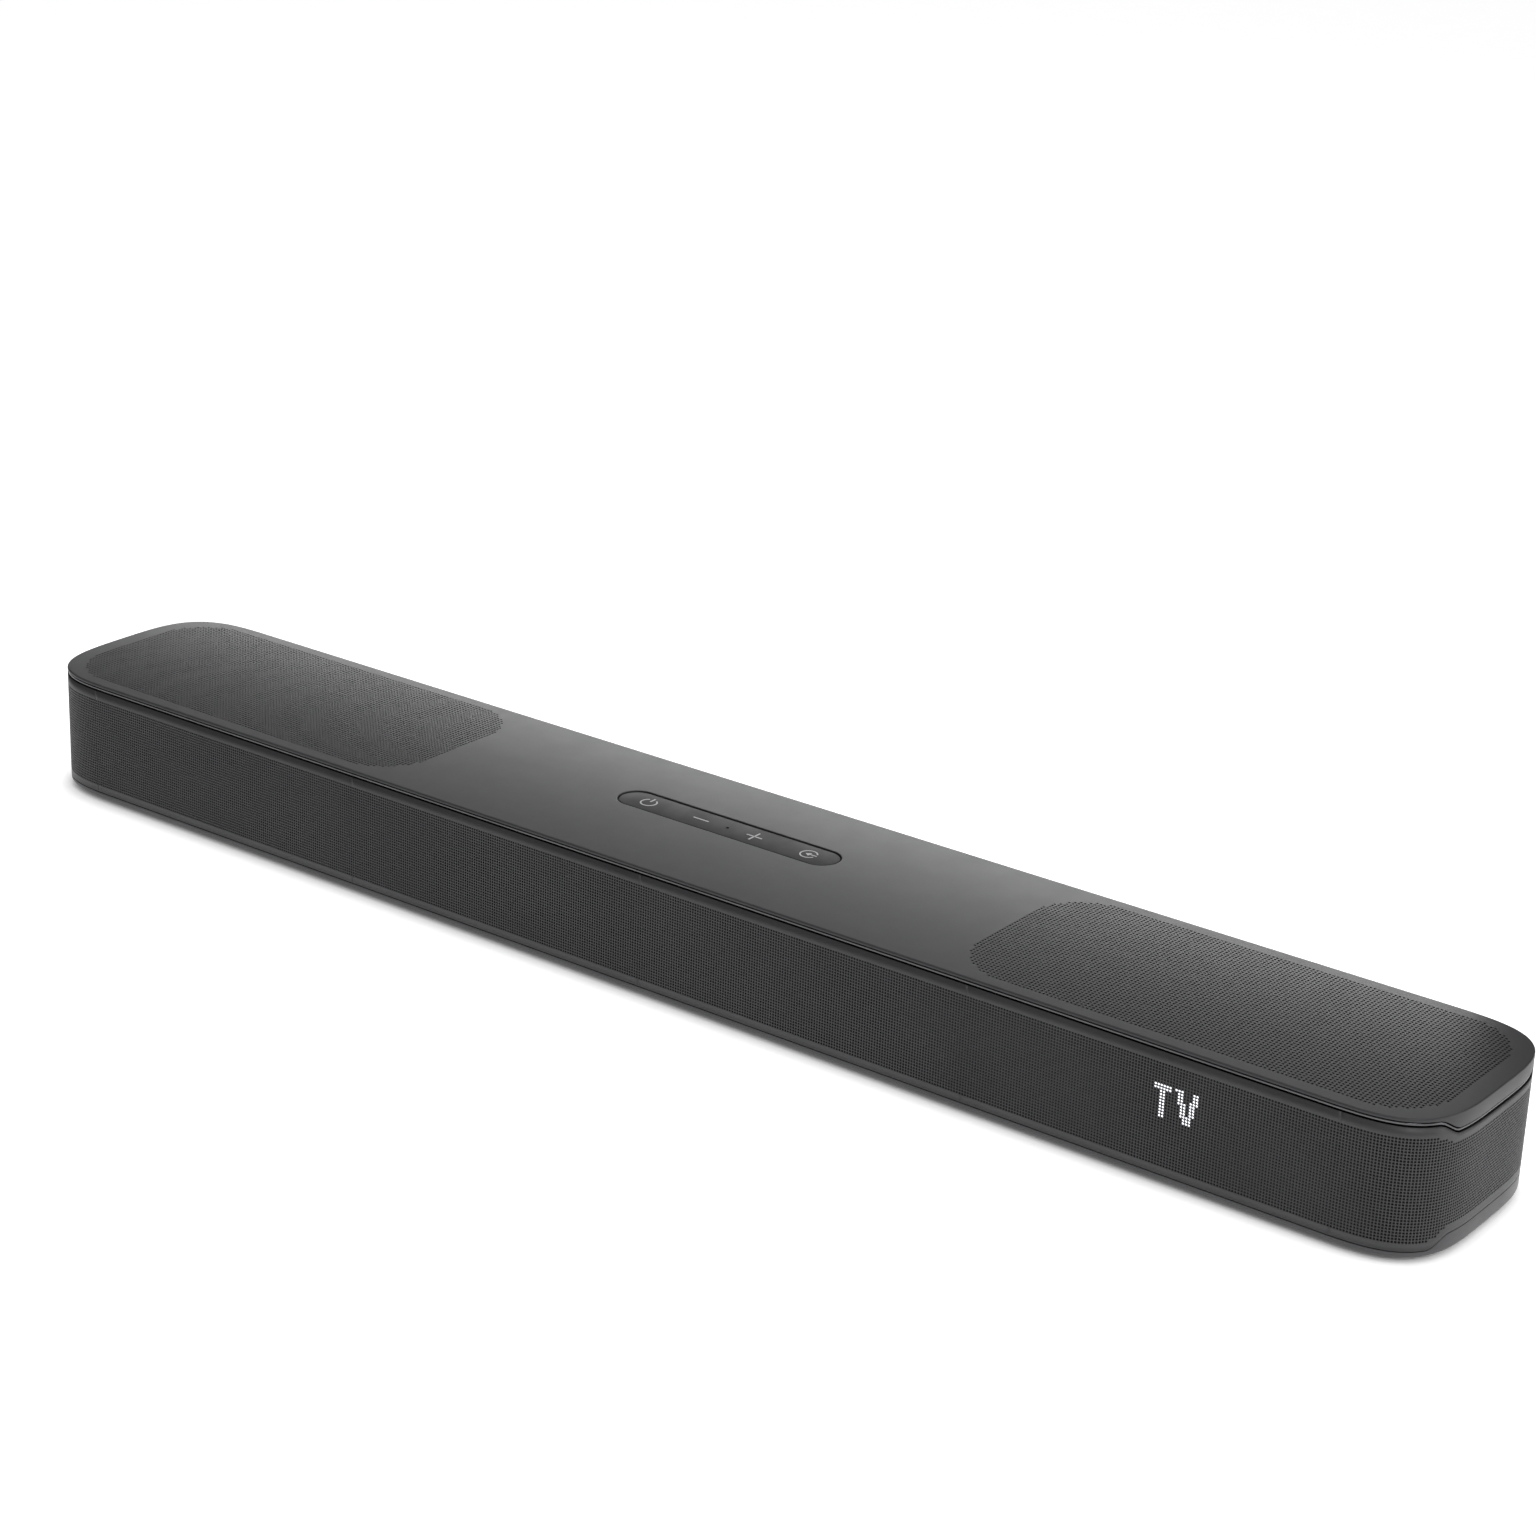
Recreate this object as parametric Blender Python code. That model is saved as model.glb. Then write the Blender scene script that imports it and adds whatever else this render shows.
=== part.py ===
"""A compact soundbar, built from its separate pieces.

Units are metres and +Z is up. X runs along the bar, the grille faces -Y, the sockets face +Y,
and the origin is the middle of the footprint, at the level of the feet.
"""

import math

import bmesh
import bpy
from mathutils import Euler, Matrix, Vector

MM = 0.001

# Overall size, and the rounded corners of the plan.
LENGTH = 709.0 * MM
DEPTH = 101.0 * MM
HEIGHT = 58.0 * MM
CORNER_SPAN = 48.0 * MM
CORNER_POWER = 3.5
CORNER_STEPS = 12

# Clearance between pieces that rest on, or sit in, each other.
GAP = 0.3 * MM

# Top cover, the trim lip under it, and the step that both seams take on the way to the ends.
COVER_WALL = 1.4 * MM
COVER_SKIRT = 1.7 * MM
COVER_SIDE = 1.6 * MM
COVER_EDGE_RADIUS = 0.6 * MM
LIP_GAP = 0.5 * MM
LIP_HEIGHT = 1.1 * MM
LIP_INSET = 0.4 * MM
LIP_REACH = 3.0 * MM
END_STEP = 4.6 * MM
STEP_START = 12.5 * MM
STEP_FINISH = 22.5 * MM

# Base cover, feet and grille.
FOOT_HEIGHT = 1.7 * MM
FOOT_RADIUS = 9.0 * MM
FOOT_CHAMFER = 0.5 * MM
FOOT_FROM_END = 60.0 * MM
FOOT_FROM_FACE = 20.0 * MM
BASE_WALL = 2.0 * MM
BASE_RIM = 0.7 * MM
BASE_SIDE = 2.4 * MM
BASE_ROUND = 2.0 * MM
BASE_SEAM = 0.35 * MM
GRILLE_WALL = 1.0 * MM

# Enclosure: the wall that carries the drivers, its flat end baffles, and the deck that closes it.
ENCLOSURE_INSET = 3.3 * MM
ENCLOSURE_WALL = 2.2 * MM
ENCLOSURE_BELOW_GRILLE = 1.1 * MM
END_BAFFLE_DEPTH = 13.0 * MM
END_BAFFLE_WALL = 2.5 * MM
END_BAFFLE_FROM_FACE = 10.7 * MM
DECK_DEPTH = 7.0 * MM
DECK_WALL = 2.0 * MM

# Racetrack drivers.
DRIVER_LENGTH = 76.0 * MM
END_DRIVER_FROM_FACE = 12.5 * MM
DRIVER_ROOM = 2.0 * MM
DRIVER_TRAVEL = 2.5 * MM
SIDE_DRIVER_X = 150.0 * MM
FLANGE_THICKNESS = 2.0 * MM
FLANGE_WIDTH = 3.6 * MM
BASKET_DEPTH = 13.5 * MM
BASKET_WALL = 1.5 * MM
MAGNET_RADIUS = 16.0 * MM
MAGNET_LENGTH = 9.0 * MM
COIL_RADIUS = 9.8 * MM
COIL_WALL = 0.6 * MM
COIL_GAP = 0.6 * MM
SURROUND_WIDTH = 3.7 * MM
SURROUND_SKIN = 0.5 * MM
SURROUND_DROP = 0.6 * MM
MAGNET_NECK = 1.0 * MM
PAPER_THICKNESS = 0.7 * MM
DRIVER_POINTS = 16

# Passive radiators: two in the top deck and two over slots in the base.
PASSIVE_FROM_END = 109.5 * MM
PASSIVE_RADIUS = 38.0 * MM
PASSIVE_SEAT = 3.4 * MM
DIAPHRAGM_RADIUS = 27.2 * MM
DIAPHRAGM_THICKNESS = 1.5 * MM
PASSIVE_SKIN = 0.8 * MM
PASSIVE_ROLL_MARGIN = 0.4 * MM
PASSIVE_HOLE_PLAY = 0.9 * MM
DIAPHRAGM_DISH = 0.6 * MM
PASSIVE_BOSS_HEIGHT = 6.0 * MM
SLOT_WIDTH = 3.2 * MM
SLOT_PITCH = 10.0 * MM
SLOTS_EACH_SIDE = 2
SLOT_FIELD_RADIUS = 29.0 * MM
PASSIVE_POINTS = 20

# Key strip in the top cover.
STRIP_LENGTH = 113.0 * MM
STRIP_WIDTH = 17.5 * MM
STRIP_Y = 6.0 * MM
STRIP_RECESS = 0.35 * MM
STRIP_SKIN = 1.1 * MM
KEY_PITCH = 27.9 * MM
KEY_LENGTH = 20.0 * MM
KEY_WIDTH = 13.0 * MM
KEY_PLATE = 1.6 * MM
KEY_TRAVEL = 0.4 * MM
KEY_PLAY = 0.045 * MM
SEAT_MARGIN = 2.25 * MM
KEY_BOARD_THICKNESS = 1.2 * MM
DOME_RADIUS = 3.0 * MM
DOME_HEIGHT = 0.6 * MM
MICROPHONE_RADIUS = 2.4 * MM
SOUND_HOLE_RADIUS = 0.7 * MM

# Display and remote-control receiver behind the grille, near the right end.
DISPLAY_FROM_END = 91.5 * MM
DISPLAY_FROM_TOP = 23.3 * MM
DISPLAY_LENGTH = 54.0 * MM
DISPLAY_HEIGHT = 20.0 * MM
DIFFUSER_THICKNESS = 1.2 * MM
DISPLAY_BOARD_THICKNESS = 1.2 * MM
RECEIVER_FROM_END = 54.5 * MM
RECEIVER_RADIUS = 3.6 * MM
RECEIVER_LENGTH = 6.0 * MM

# Rear panel, socket bay, sockets and wall-mount inserts.
REAR_WALL = 2.0 * MM
BAY_LEFT = -92.0 * MM
BAY_RIGHT = 106.0 * MM
BAY_BOTTOM = 13.0 * MM
BAY_FROM_TOP = 15.0 * MM
BAY_DEPTH = 26.0 * MM
BAY_WALL = 2.0 * MM
SOCKET_STAND_OUT = 1.0 * MM
SOCKET_LENGTH = 17.0 * MM
INSERT_X = 220.0 * MM
INSERT_FROM_TOP = 28.0 * MM
INSERT_RADIUS = 4.5 * MM
INSERT_BORE = 2.1 * MM
INSERT_FLANGE_RADIUS = 7.0 * MM
INSERT_FLANGE = 0.7 * MM

# Circuit boards.
BOARD_BELOW_BAY_MIDDLE = 8.0 * MM
BOARD_THICKNESS = 1.6 * MM
BOARD_FROM_BAY = 2.5 * MM
BOARD_WIDTH = 34.0 * MM

# Each socket: middle, body width and height, mouth width and height, and how deep the mouth is.
SOCKETS = {
    "power_inlet": (-68.0 * MM, 22.0 * MM, 12.0 * MM, 17.6 * MM, 8.6 * MM, 12.0 * MM),
    "service_socket": (-6.0 * MM, 14.4 * MM, 6.8 * MM, 12.6 * MM, 5.0 * MM, 11.0 * MM),
    "network_socket": (18.0 * MM, 15.6 * MM, 13.0 * MM, 11.8 * MM, 8.6 * MM, 12.0 * MM),
    "av_input_socket": (43.0 * MM, 15.6 * MM, 6.6 * MM, 14.0 * MM, 4.8 * MM, 9.0 * MM),
    "av_output_socket": (66.0 * MM, 15.6 * MM, 6.6 * MM, 14.0 * MM, 4.8 * MM, 9.0 * MM),
    "optical_socket": (88.0 * MM, 12.0 * MM, 12.0 * MM, 8.6 * MM, 8.6 * MM, 9.0 * MM),
}
CONTACT_THICKNESS = 1.0 * MM
PIN_RADIUS = 1.2 * MM
PIN_SPACING = 8.6 * MM
SOCKET_FINISH = {"power_inlet": "inner_plastic", "optical_socket": "inner_plastic"}

# Parts on the boards: middle and size along X, and how far behind the board's front edge they start.
MAIN_BOARD_ENDS = (-18.0 * MM, 108.0 * MM)
POWER_BOARD_ENDS = (-130.0 * MM, -26.0 * MM)
CHIPS = ((46.0 * MM, 14.0 * MM), (74.0 * MM, 9.0 * MM), (94.0 * MM, 7.0 * MM))
CHIP_SETBACK = 6.0 * MM
CHIP_HEIGHT = 1.6 * MM
MODULE_X = 0.0
MODULE_SIZE = (24.0 * MM, 14.0 * MM, 2.4 * MM)
MODULE_SETBACK = 3.0 * MM
TRANSFORMER_X = -110.0 * MM
TRANSFORMER_LENGTH = 28.0 * MM
TRANSFORMER_DEPTH = 24.0 * MM
TRANSFORMER_ROOM = 6.1 * MM
TRANSFORMER_BEVEL = 1.0 * MM
TRANSFORMER_SETBACK = 5.0 * MM
SINK_LEFT = -52.0 * MM
SINK_SETBACK = 4.0 * MM
SINK_ROOM = 8.1 * MM
SINK_FOOT = 3.0 * MM
FIN_COUNT = 6
FIN_PITCH = 4.0 * MM
FIN_WIDTH = 1.2 * MM

# Points round a round or racetrack outline, and steps along an arc.
STRIP_POINTS = 32
SEAT_POINTS = 24
ROUND_POINTS = 16
SMALL_POINTS = 12
PIN_POINTS = 8
BASE_ROUND_STEPS = 3
COVER_EDGE_STEPS = 2
ROLL_STEPS = 3
PASSIVE_ROLL_STEPS = 4

# Places worked out from the sizes above.
END = LENGTH / 2
BACK = DEPTH / 2
BASE_BOTTOM = FOOT_HEIGHT + GAP
FLOOR_TOP = BASE_BOTTOM + BASE_WALL
RIM_TOP = FLOOR_TOP + BASE_RIM
GRILLE_BOTTOM = RIM_TOP + BASE_SEAM
COVER_EDGE = HEIGHT - COVER_SKIRT
COVER_UNDER = HEIGHT - COVER_WALL
LIP_TOP = COVER_EDGE - LIP_GAP
LIP_BOTTOM = LIP_TOP - LIP_HEIGHT
GRILLE_TOP = LIP_BOTTOM - LIP_GAP
ENCLOSURE_BOTTOM = FLOOR_TOP + GAP
ENCLOSURE_TOP = GRILLE_TOP - ENCLOSURE_BELOW_GRILLE
ENCLOSURE_INNER = ENCLOSURE_INSET + ENCLOSURE_WALL
DECK_TOP = HEIGHT - DECK_DEPTH
DECK_BOTTOM = DECK_TOP - DECK_WALL
DRIVER_Z = (FLOOR_TOP + DECK_BOTTOM) / 2
DRIVER_RADIUS = (DECK_BOTTOM - FLOOR_TOP) / 2 - DRIVER_ROOM
DRIVER_STRAIGHT = DRIVER_LENGTH / 2 - DRIVER_RADIUS
END_DRIVER_STRAIGHT = BACK - END_DRIVER_FROM_FACE - DRIVER_RADIUS
OPENING_RADIUS = DRIVER_RADIUS - FLANGE_WIDTH
BAFFLE_HOLE_RADIUS = OPENING_RADIUS + GAP
PASSIVE_X = END - PASSIVE_FROM_END
PASSIVE_HOLE_RADIUS = PASSIVE_RADIUS - PASSIVE_SEAT + PASSIVE_HOLE_PLAY
BOSS_TOP = FLOOR_TOP + PASSIVE_BOSS_HEIGHT
STRIP_RADIUS = STRIP_WIDTH / 2
STRIP_STRAIGHT = (STRIP_LENGTH - STRIP_WIDTH) / 2
STRIP_TOP = HEIGHT - STRIP_RECESS
STRIP_BOTTOM = STRIP_TOP - STRIP_SKIN
KEY_TOP = STRIP_BOTTOM - GAP
KEY_BOARD_BOTTOM = DECK_TOP + GAP
KEY_BOARD_TOP = KEY_BOARD_BOTTOM + KEY_BOARD_THICKNESS
SEAT_BOTTOM = KEY_BOARD_TOP + GAP
DOME_TOP = KEY_BOARD_TOP + DOME_HEIGHT
KEY_POST_BOTTOM = DOME_TOP + KEY_TRAVEL + KEY_PLAY
REAR_EDGE_X = END - CORNER_SPAN - GAP
BAY_FLOOR = BACK - BAY_DEPTH
BAY_TOP = HEIGHT - BAY_FROM_TOP
DISPLAY_Z = HEIGHT - DISPLAY_FROM_TOP
INSERT_Z = HEIGHT - INSERT_FROM_TOP
BOARD_Z = (BAY_BOTTOM + BAY_TOP) / 2 - BOARD_BELOW_BAY_MIDDLE
BOARD_TOP = BOARD_Z + BOARD_THICKNESS
BOARD_BACK = BAY_FLOOR - BAY_WALL - BOARD_FROM_BAY
SOCKET_Z = BOARD_TOP + GAP
SOCKET_FACE = BAY_FLOOR + SOCKET_STAND_OUT
SOCKET_BACK = SOCKET_FACE - SOCKET_LENGTH
SINK_HEIGHT = DECK_BOTTOM - SOCKET_Z - SINK_ROOM
TRANSFORMER_HEIGHT = DECK_BOTTOM - SOCKET_Z - TRANSFORMER_ROOM
TRANSFORMER_SIZE = (TRANSFORMER_LENGTH, TRANSFORMER_DEPTH, TRANSFORMER_HEIGHT)

# Finishes: colour, roughness, metallic.
FINISHES = {
    "satin_cover": ((0.045, 0.046, 0.048), 0.42, 0.0),
    "bright_edge": ((0.25, 0.25, 0.26), 0.30, 0.0),
    "black_steel": ((0.030, 0.030, 0.032), 0.45, 0.6),
    "satin_base": ((0.055, 0.055, 0.058), 0.50, 0.0),
    "inner_plastic": ((0.012, 0.012, 0.012), 0.60, 0.0),
    "key_skin": ((0.050, 0.050, 0.053), 0.55, 0.0),
    "cone_paper": ((0.020, 0.020, 0.022), 0.75, 0.0),
    "diaphragm_metal": ((0.050, 0.050, 0.055), 0.40, 1.0),
    "soft_rubber": ((0.010, 0.010, 0.010), 0.80, 0.0),
    "driver_steel": ((0.15, 0.15, 0.16), 0.40, 1.0),
    "board_green": ((0.02, 0.10, 0.05), 0.50, 0.0),
    "winding_yellow": ((0.65, 0.50, 0.08), 0.50, 0.0),
    "bare_aluminium": ((0.70, 0.70, 0.72), 0.35, 1.0),
    "plated_steel": ((0.62, 0.62, 0.64), 0.25, 1.0),
    "smoked_diffuser": ((0.02, 0.02, 0.022), 0.40, 0.0),
    "brass": ((0.70, 0.52, 0.22), 0.35, 1.0),
}


def clear_scene():
    for item in list(bpy.data.objects):
        bpy.data.objects.remove(item, do_unlink=True)


def new_material(name, finish):
    colour, roughness, metallic = FINISHES[finish]
    material = bpy.data.materials.new(name)
    material.use_nodes = True
    shader = material.node_tree.nodes["Principled BSDF"]
    shader.inputs["Base Color"].default_value = (*colour, 1.0)
    shader.inputs["Roughness"].default_value = roughness
    shader.inputs["Metallic"].default_value = metallic
    return material


def new_object(name, mesh, finish):
    """Turn a finished bmesh into a named object with its own material."""
    bmesh.ops.recalc_face_normals(mesh, faces=mesh.faces)
    data = bpy.data.meshes.new(name)
    mesh.to_mesh(data)
    mesh.free()
    data.shade_smooth()
    data.set_sharp_from_angle(angle=math.radians(35))
    data.materials.append(new_material(name, finish))
    item = bpy.data.objects.new(name, data)
    bpy.context.scene.collection.objects.link(item)
    return item


def combine(item, mesh, operation):
    """Cut a tool shape out of an object, or join it on, with a live Boolean modifier."""
    tool = new_object(item.name + "_" + operation.lower(), mesh, "inner_plastic")
    tool.hide_render = True
    tool.display_type = "WIRE"
    modifier = item.modifiers.new(operation.lower(), "BOOLEAN")
    modifier.operation = operation
    modifier.object = tool
    if item.parent:
        tool.parent = item.parent


def new_empty(name, place, turn=(0, 0, 0)):
    empty = bpy.data.objects.new(name, None)
    empty.location = place
    empty.rotation_euler = [math.radians(angle) for angle in turn]
    bpy.context.scene.collection.objects.link(empty)
    return empty


def turned(place, turn):
    """The matrix that turns a tool shape by Euler angles in degrees, then moves it to its place."""
    angles = Euler([math.radians(angle) for angle in turn])
    return Matrix.Translation(place) @ angles.to_matrix().to_4x4()


def add_loops(mesh, loops, ring):
    """Add one closed body: a loop is extruded to each next one, and the ends are joined or capped."""
    first = [mesh.verts.new(point) for point in loops[0]]
    edges = [mesh.edges.new((first[i - 1], first[i])) for i in range(len(first))]
    if not ring:
        bmesh.ops.contextual_create(mesh, geom=edges)
    corners = first
    for loop in loops[1:] + (loops[:1] if ring else []):
        made = set(bmesh.ops.extrude_edge_only(mesh, edges=edges)["geom"])
        moved = []
        for corner, point in zip(corners, loop):
            others = [edge.other_vert(corner) for edge in corner.link_edges]
            twin = next(other for other in others if other in made)
            twin.co = point
            moved.append(twin)
        corners = moved
        edges = [mesh.edges.get((corners[i - 1], corners[i])) for i in range(len(corners))]
    if ring:
        bmesh.ops.weld_verts(mesh, targetmap=dict(zip(corners, first)))
    else:
        bmesh.ops.contextual_create(mesh, geom=edges)


def add_box(mesh, low, high):
    low = Vector(low)
    high = Vector(high)
    matrix = Matrix.Translation((low + high) / 2) @ Matrix.Diagonal((*(high - low), 1.0))
    bmesh.ops.create_cube(mesh, size=1.0, matrix=matrix)


def racetrack(straight, radius, z, count):
    """Points round two half circles, whose centres are `straight` to each side of the middle."""
    points = []
    for k in range(count):
        angle = 2 * math.pi * (k + 0.5) / count
        centre = math.copysign(straight, math.cos(angle))
        points.append(Vector((centre + radius * math.cos(angle), radius * math.sin(angle), z)))
    return points


def add_racetracks(mesh, sections, count, ring=False, matrix=None):
    """Add a body lofted through racetrack sections, each given as (straight, radius, z)."""
    loops = [racetrack(straight, radius, z, count) for straight, radius, z in sections]
    if matrix is not None:
        loops = [[matrix @ point for point in loop] for loop in loops]
    add_loops(mesh, loops, ring)


def racetrack_piece(name, sections, count, finish, ring=False):
    mesh = bmesh.new()
    add_racetracks(mesh, sections, count, ring)
    return new_object(name, mesh, finish)


def box_piece(name, low, high, finish, bevel=0.0):
    mesh = bmesh.new()
    add_box(mesh, low, high)
    item = new_object(name, mesh, finish)
    if bevel:
        rounding = item.modifiers.new("rounding", "BEVEL")
        rounding.width = bevel
        rounding.segments = 2
    return item


def outline(inset):
    """Plan of the bar, moved inwards by `inset`: rear left, left end, front, right end, rear right."""
    points = []
    power = 2 / CORNER_POWER
    for side, face, rising in ((-1, 1, False), (-1, -1, True), (1, -1, False), (1, 1, True)):
        for k in range(CORNER_STEPS + 1):
            share = k / CORNER_STEPS if rising else 1 - k / CORNER_STEPS
            across = math.cos(share * math.pi / 2) ** power
            along = math.sin(share * math.pi / 2) ** power
            slope = Vector((across ** (CORNER_POWER - 1), along ** (CORNER_POWER - 1))).normalized()
            x = END - CORNER_SPAN + CORNER_SPAN * across - inset * slope.x
            y = BACK - CORNER_SPAN + CORNER_SPAN * along - inset * slope.y
            points.append((side * x, face * y))
    return points


def seam_step(y):
    """How far a seam has stepped at depth y: nothing on the long faces, all of it on the ends."""
    behind_face = BACK - abs(y)
    share = min(max((behind_face - STEP_START) / (STEP_FINISH - STEP_START), 0.0), 1.0)
    return END_STEP * share * share * (3 - 2 * share)


def level(z):
    return lambda y: z


def stepped_down(z):
    return lambda y: z - seam_step(y)


def stepped_up(z):
    return lambda y: z + seam_step(y)


def outline_loops(corners):
    """One loop round the plan for each (inset, height) corner; height is a function of depth."""
    edge = outline(0.0)
    loops = []
    for inset, height in corners:
        pairs = zip(outline(inset), edge)
        loops.append([Vector((x, y, height(edge_y))) for (x, y), (_, edge_y) in pairs])
    return loops


def band_piece(name, corners, finish, closed):
    """A wall that runs round the plan, closed, or open along the rear face."""
    across = outline_loops(corners)
    sections = [list(section) for section in zip(*across)]
    mesh = bmesh.new()
    add_loops(mesh, sections, closed)
    return new_object(name, mesh, finish)


def tray_piece(name, corners, finish):
    """A plate with the bar's plan: the loops are stacked, and the first and last are capped."""
    mesh = bmesh.new()
    add_loops(mesh, outline_loops(corners), False)
    return new_object(name, mesh, finish)


def arc(start, finish, steps):
    """Angles in radians from start to finish, both in degrees."""
    return [math.radians(start + (finish - start) * k / steps) for k in range(steps + 1)]


def build_top_cover():
    corners = [
        (COVER_EDGE_RADIUS * (1 - math.sin(a)), level(HEIGHT - COVER_EDGE_RADIUS * (1 - math.cos(a))))
        for a in arc(0, 90, COVER_EDGE_STEPS)
    ]
    corners += [
        (0.0, stepped_down(COVER_EDGE)),
        (COVER_SIDE, stepped_down(COVER_EDGE)),
        (COVER_SIDE, level(COVER_UNDER)),
    ]
    cover = tray_piece("top_cover", corners, "satin_cover")
    recess = bmesh.new()
    sections = [(STRIP_STRAIGHT, STRIP_RADIUS, z) for z in (KEY_TOP, HEIGHT + GAP)]
    add_racetracks(recess, sections, STRIP_POINTS, matrix=turned((0, STRIP_Y, 0), (0, 0, 0)))
    combine(cover, recess, "DIFFERENCE")


def build_trim_lip():
    low = stepped_down(LIP_BOTTOM)
    high = stepped_down(LIP_TOP)
    corners = [(LIP_INSET, low), (LIP_INSET, high), (LIP_REACH, high), (LIP_REACH, low)]
    band_piece("trim_lip", corners, "bright_edge", closed=True)


def build_wrap_grille():
    low = stepped_up(GRILLE_BOTTOM)
    high = stepped_down(GRILLE_TOP)
    corners = [(0.0, low), (0.0, high), (GRILLE_WALL, high), (GRILLE_WALL, low)]
    band_piece("wrap_grille", corners, "black_steel", closed=False)


def build_base_cover():
    corners = [
        (BASE_ROUND * (1 - math.sin(a)), level(BASE_BOTTOM + BASE_ROUND * (1 - math.cos(a))))
        for a in arc(0, 90, BASE_ROUND_STEPS)
    ]
    corners += [
        (0.0, stepped_up(RIM_TOP)),
        (BASE_SIDE, stepped_up(RIM_TOP)),
        (BASE_SIDE, level(FLOOR_TOP)),
    ]
    base = tray_piece("base_cover", corners, "satin_base")
    bosses = bmesh.new()
    slots = bmesh.new()
    middle_z = (BASE_BOTTOM + FLOOR_TOP) / 2
    for side in (-1, 1):
        place = turned((side * PASSIVE_X, 0, 0), (0, 0, 0))
        inner = PASSIVE_HOLE_RADIUS
        outer = PASSIVE_RADIUS + GAP
        ring = [(0, inner, middle_z), (0, outer, middle_z), (0, outer, BOSS_TOP), (0, inner, BOSS_TOP)]
        add_racetracks(bosses, ring, PASSIVE_POINTS, ring=True, matrix=place)
        for row in range(-SLOTS_EACH_SIDE, SLOTS_EACH_SIDE + 1):
            y = row * SLOT_PITCH
            half = math.sqrt(SLOT_FIELD_RADIUS ** 2 - y ** 2)
            low = (side * PASSIVE_X - half, y - SLOT_WIDTH / 2, BASE_BOTTOM - GAP)
            high = (side * PASSIVE_X + half, y + SLOT_WIDTH / 2, FLOOR_TOP + GAP)
            add_box(slots, low, high)
    combine(base, bosses, "UNION")
    combine(base, slots, "DIFFERENCE")


def build_feet():
    for end, side in (("left", -1), ("right", 1)):
        for face, depth in (("front", -1), ("rear", 1)):
            sections = [
                (0, FOOT_RADIUS - FOOT_CHAMFER, 0.0),
                (0, FOOT_RADIUS, FOOT_CHAMFER),
                (0, FOOT_RADIUS, FOOT_HEIGHT),
            ]
            foot = racetrack_piece(f"{face}_{end}_foot", sections, 20, "soft_rubber")
            foot.location = (side * (END - FOOT_FROM_END), depth * (BACK - FOOT_FROM_FACE), 0)


def front_place(x, z, y):
    """A place on the front wall for a piece whose own +Z axis points out of the front."""
    return turned((x, y, z), (90, 0, 0))


def build_enclosure():
    bottom = level(ENCLOSURE_BOTTOM)
    top = stepped_down(ENCLOSURE_TOP)
    corners = [
        (ENCLOSURE_INSET, bottom),
        (ENCLOSURE_INSET, top),
        (ENCLOSURE_INNER, top),
        (ENCLOSURE_INNER, bottom),
    ]
    wall = band_piece("enclosure", corners, "inner_plastic", closed=True)

    baffles = bmesh.new()
    half_width = BACK - END_BAFFLE_FROM_FACE
    outer = END - END_BAFFLE_DEPTH
    inner = outer - END_BAFFLE_WALL
    top_z = ENCLOSURE_TOP - END_STEP - GAP
    for side in (-1, 1):
        low_x, high_x = sorted((side * inner, side * outer))
        add_box(baffles, (low_x, -half_width, ENCLOSURE_BOTTOM + GAP), (high_x, half_width, top_z))
    combine(wall, baffles, "UNION")

    holes = bmesh.new()
    end_reach = (-END_BAFFLE_DEPTH, END_BAFFLE_DEPTH)
    end_opening = [(END_DRIVER_STRAIGHT, BAFFLE_HOLE_RADIUS, z) for z in end_reach]
    front_reach = (-ENCLOSURE_WALL, ENCLOSURE_INNER)
    front_opening = [(DRIVER_STRAIGHT, BAFFLE_HOLE_RADIUS, z) for z in front_reach]
    for x in (-SIDE_DRIVER_X, 0, SIDE_DRIVER_X):
        place = front_place(x, DRIVER_Z, ENCLOSURE_INNER - BACK)
        add_racetracks(holes, front_opening, DRIVER_POINTS, matrix=place)
    for side in (-1, 1):
        place = turned((side * outer, 0, DRIVER_Z), (90, 0, side * 90))
        add_racetracks(holes, end_opening, DRIVER_POINTS, matrix=place)
    display_x = END - DISPLAY_FROM_END
    half = DISPLAY_LENGTH / 2 + GAP
    tall = DISPLAY_HEIGHT / 2 + GAP
    low = (display_x - half, -BACK, DISPLAY_Z - tall)
    add_box(holes, low, (display_x + half, -BACK + 2 * ENCLOSURE_INNER, DISPLAY_Z + tall))
    receiver = [(0, RECEIVER_RADIUS + 2 * GAP, z) for z in front_reach]
    place = front_place(END - RECEIVER_FROM_END, DISPLAY_Z, ENCLOSURE_INNER - BACK)
    add_racetracks(holes, receiver, SMALL_POINTS, matrix=place)
    bay = BAY_WALL + 2 * GAP
    add_box(
        holes,
        (BAY_LEFT - bay, BACK - 2 * ENCLOSURE_INNER, BAY_BOTTOM - bay),
        (BAY_RIGHT + bay, BACK, BAY_TOP + bay),
    )
    combine(wall, holes, "DIFFERENCE")


def build_top_deck():
    inset = ENCLOSURE_INNER + GAP
    corners = [(inset, level(DECK_TOP)), (inset, level(DECK_BOTTOM))]
    deck = tray_piece("top_deck", corners, "inner_plastic")
    holes = bmesh.new()
    for side in (-1, 1):
        sections = [(0, PASSIVE_HOLE_RADIUS, z) for z in (DECK_BOTTOM - GAP, DECK_TOP + GAP)]
        place = turned((side * PASSIVE_X, 0, 0), (0, 0, 0))
        add_racetracks(holes, sections, PASSIVE_POINTS, matrix=place)
    combine(deck, holes, "DIFFERENCE")


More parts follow.
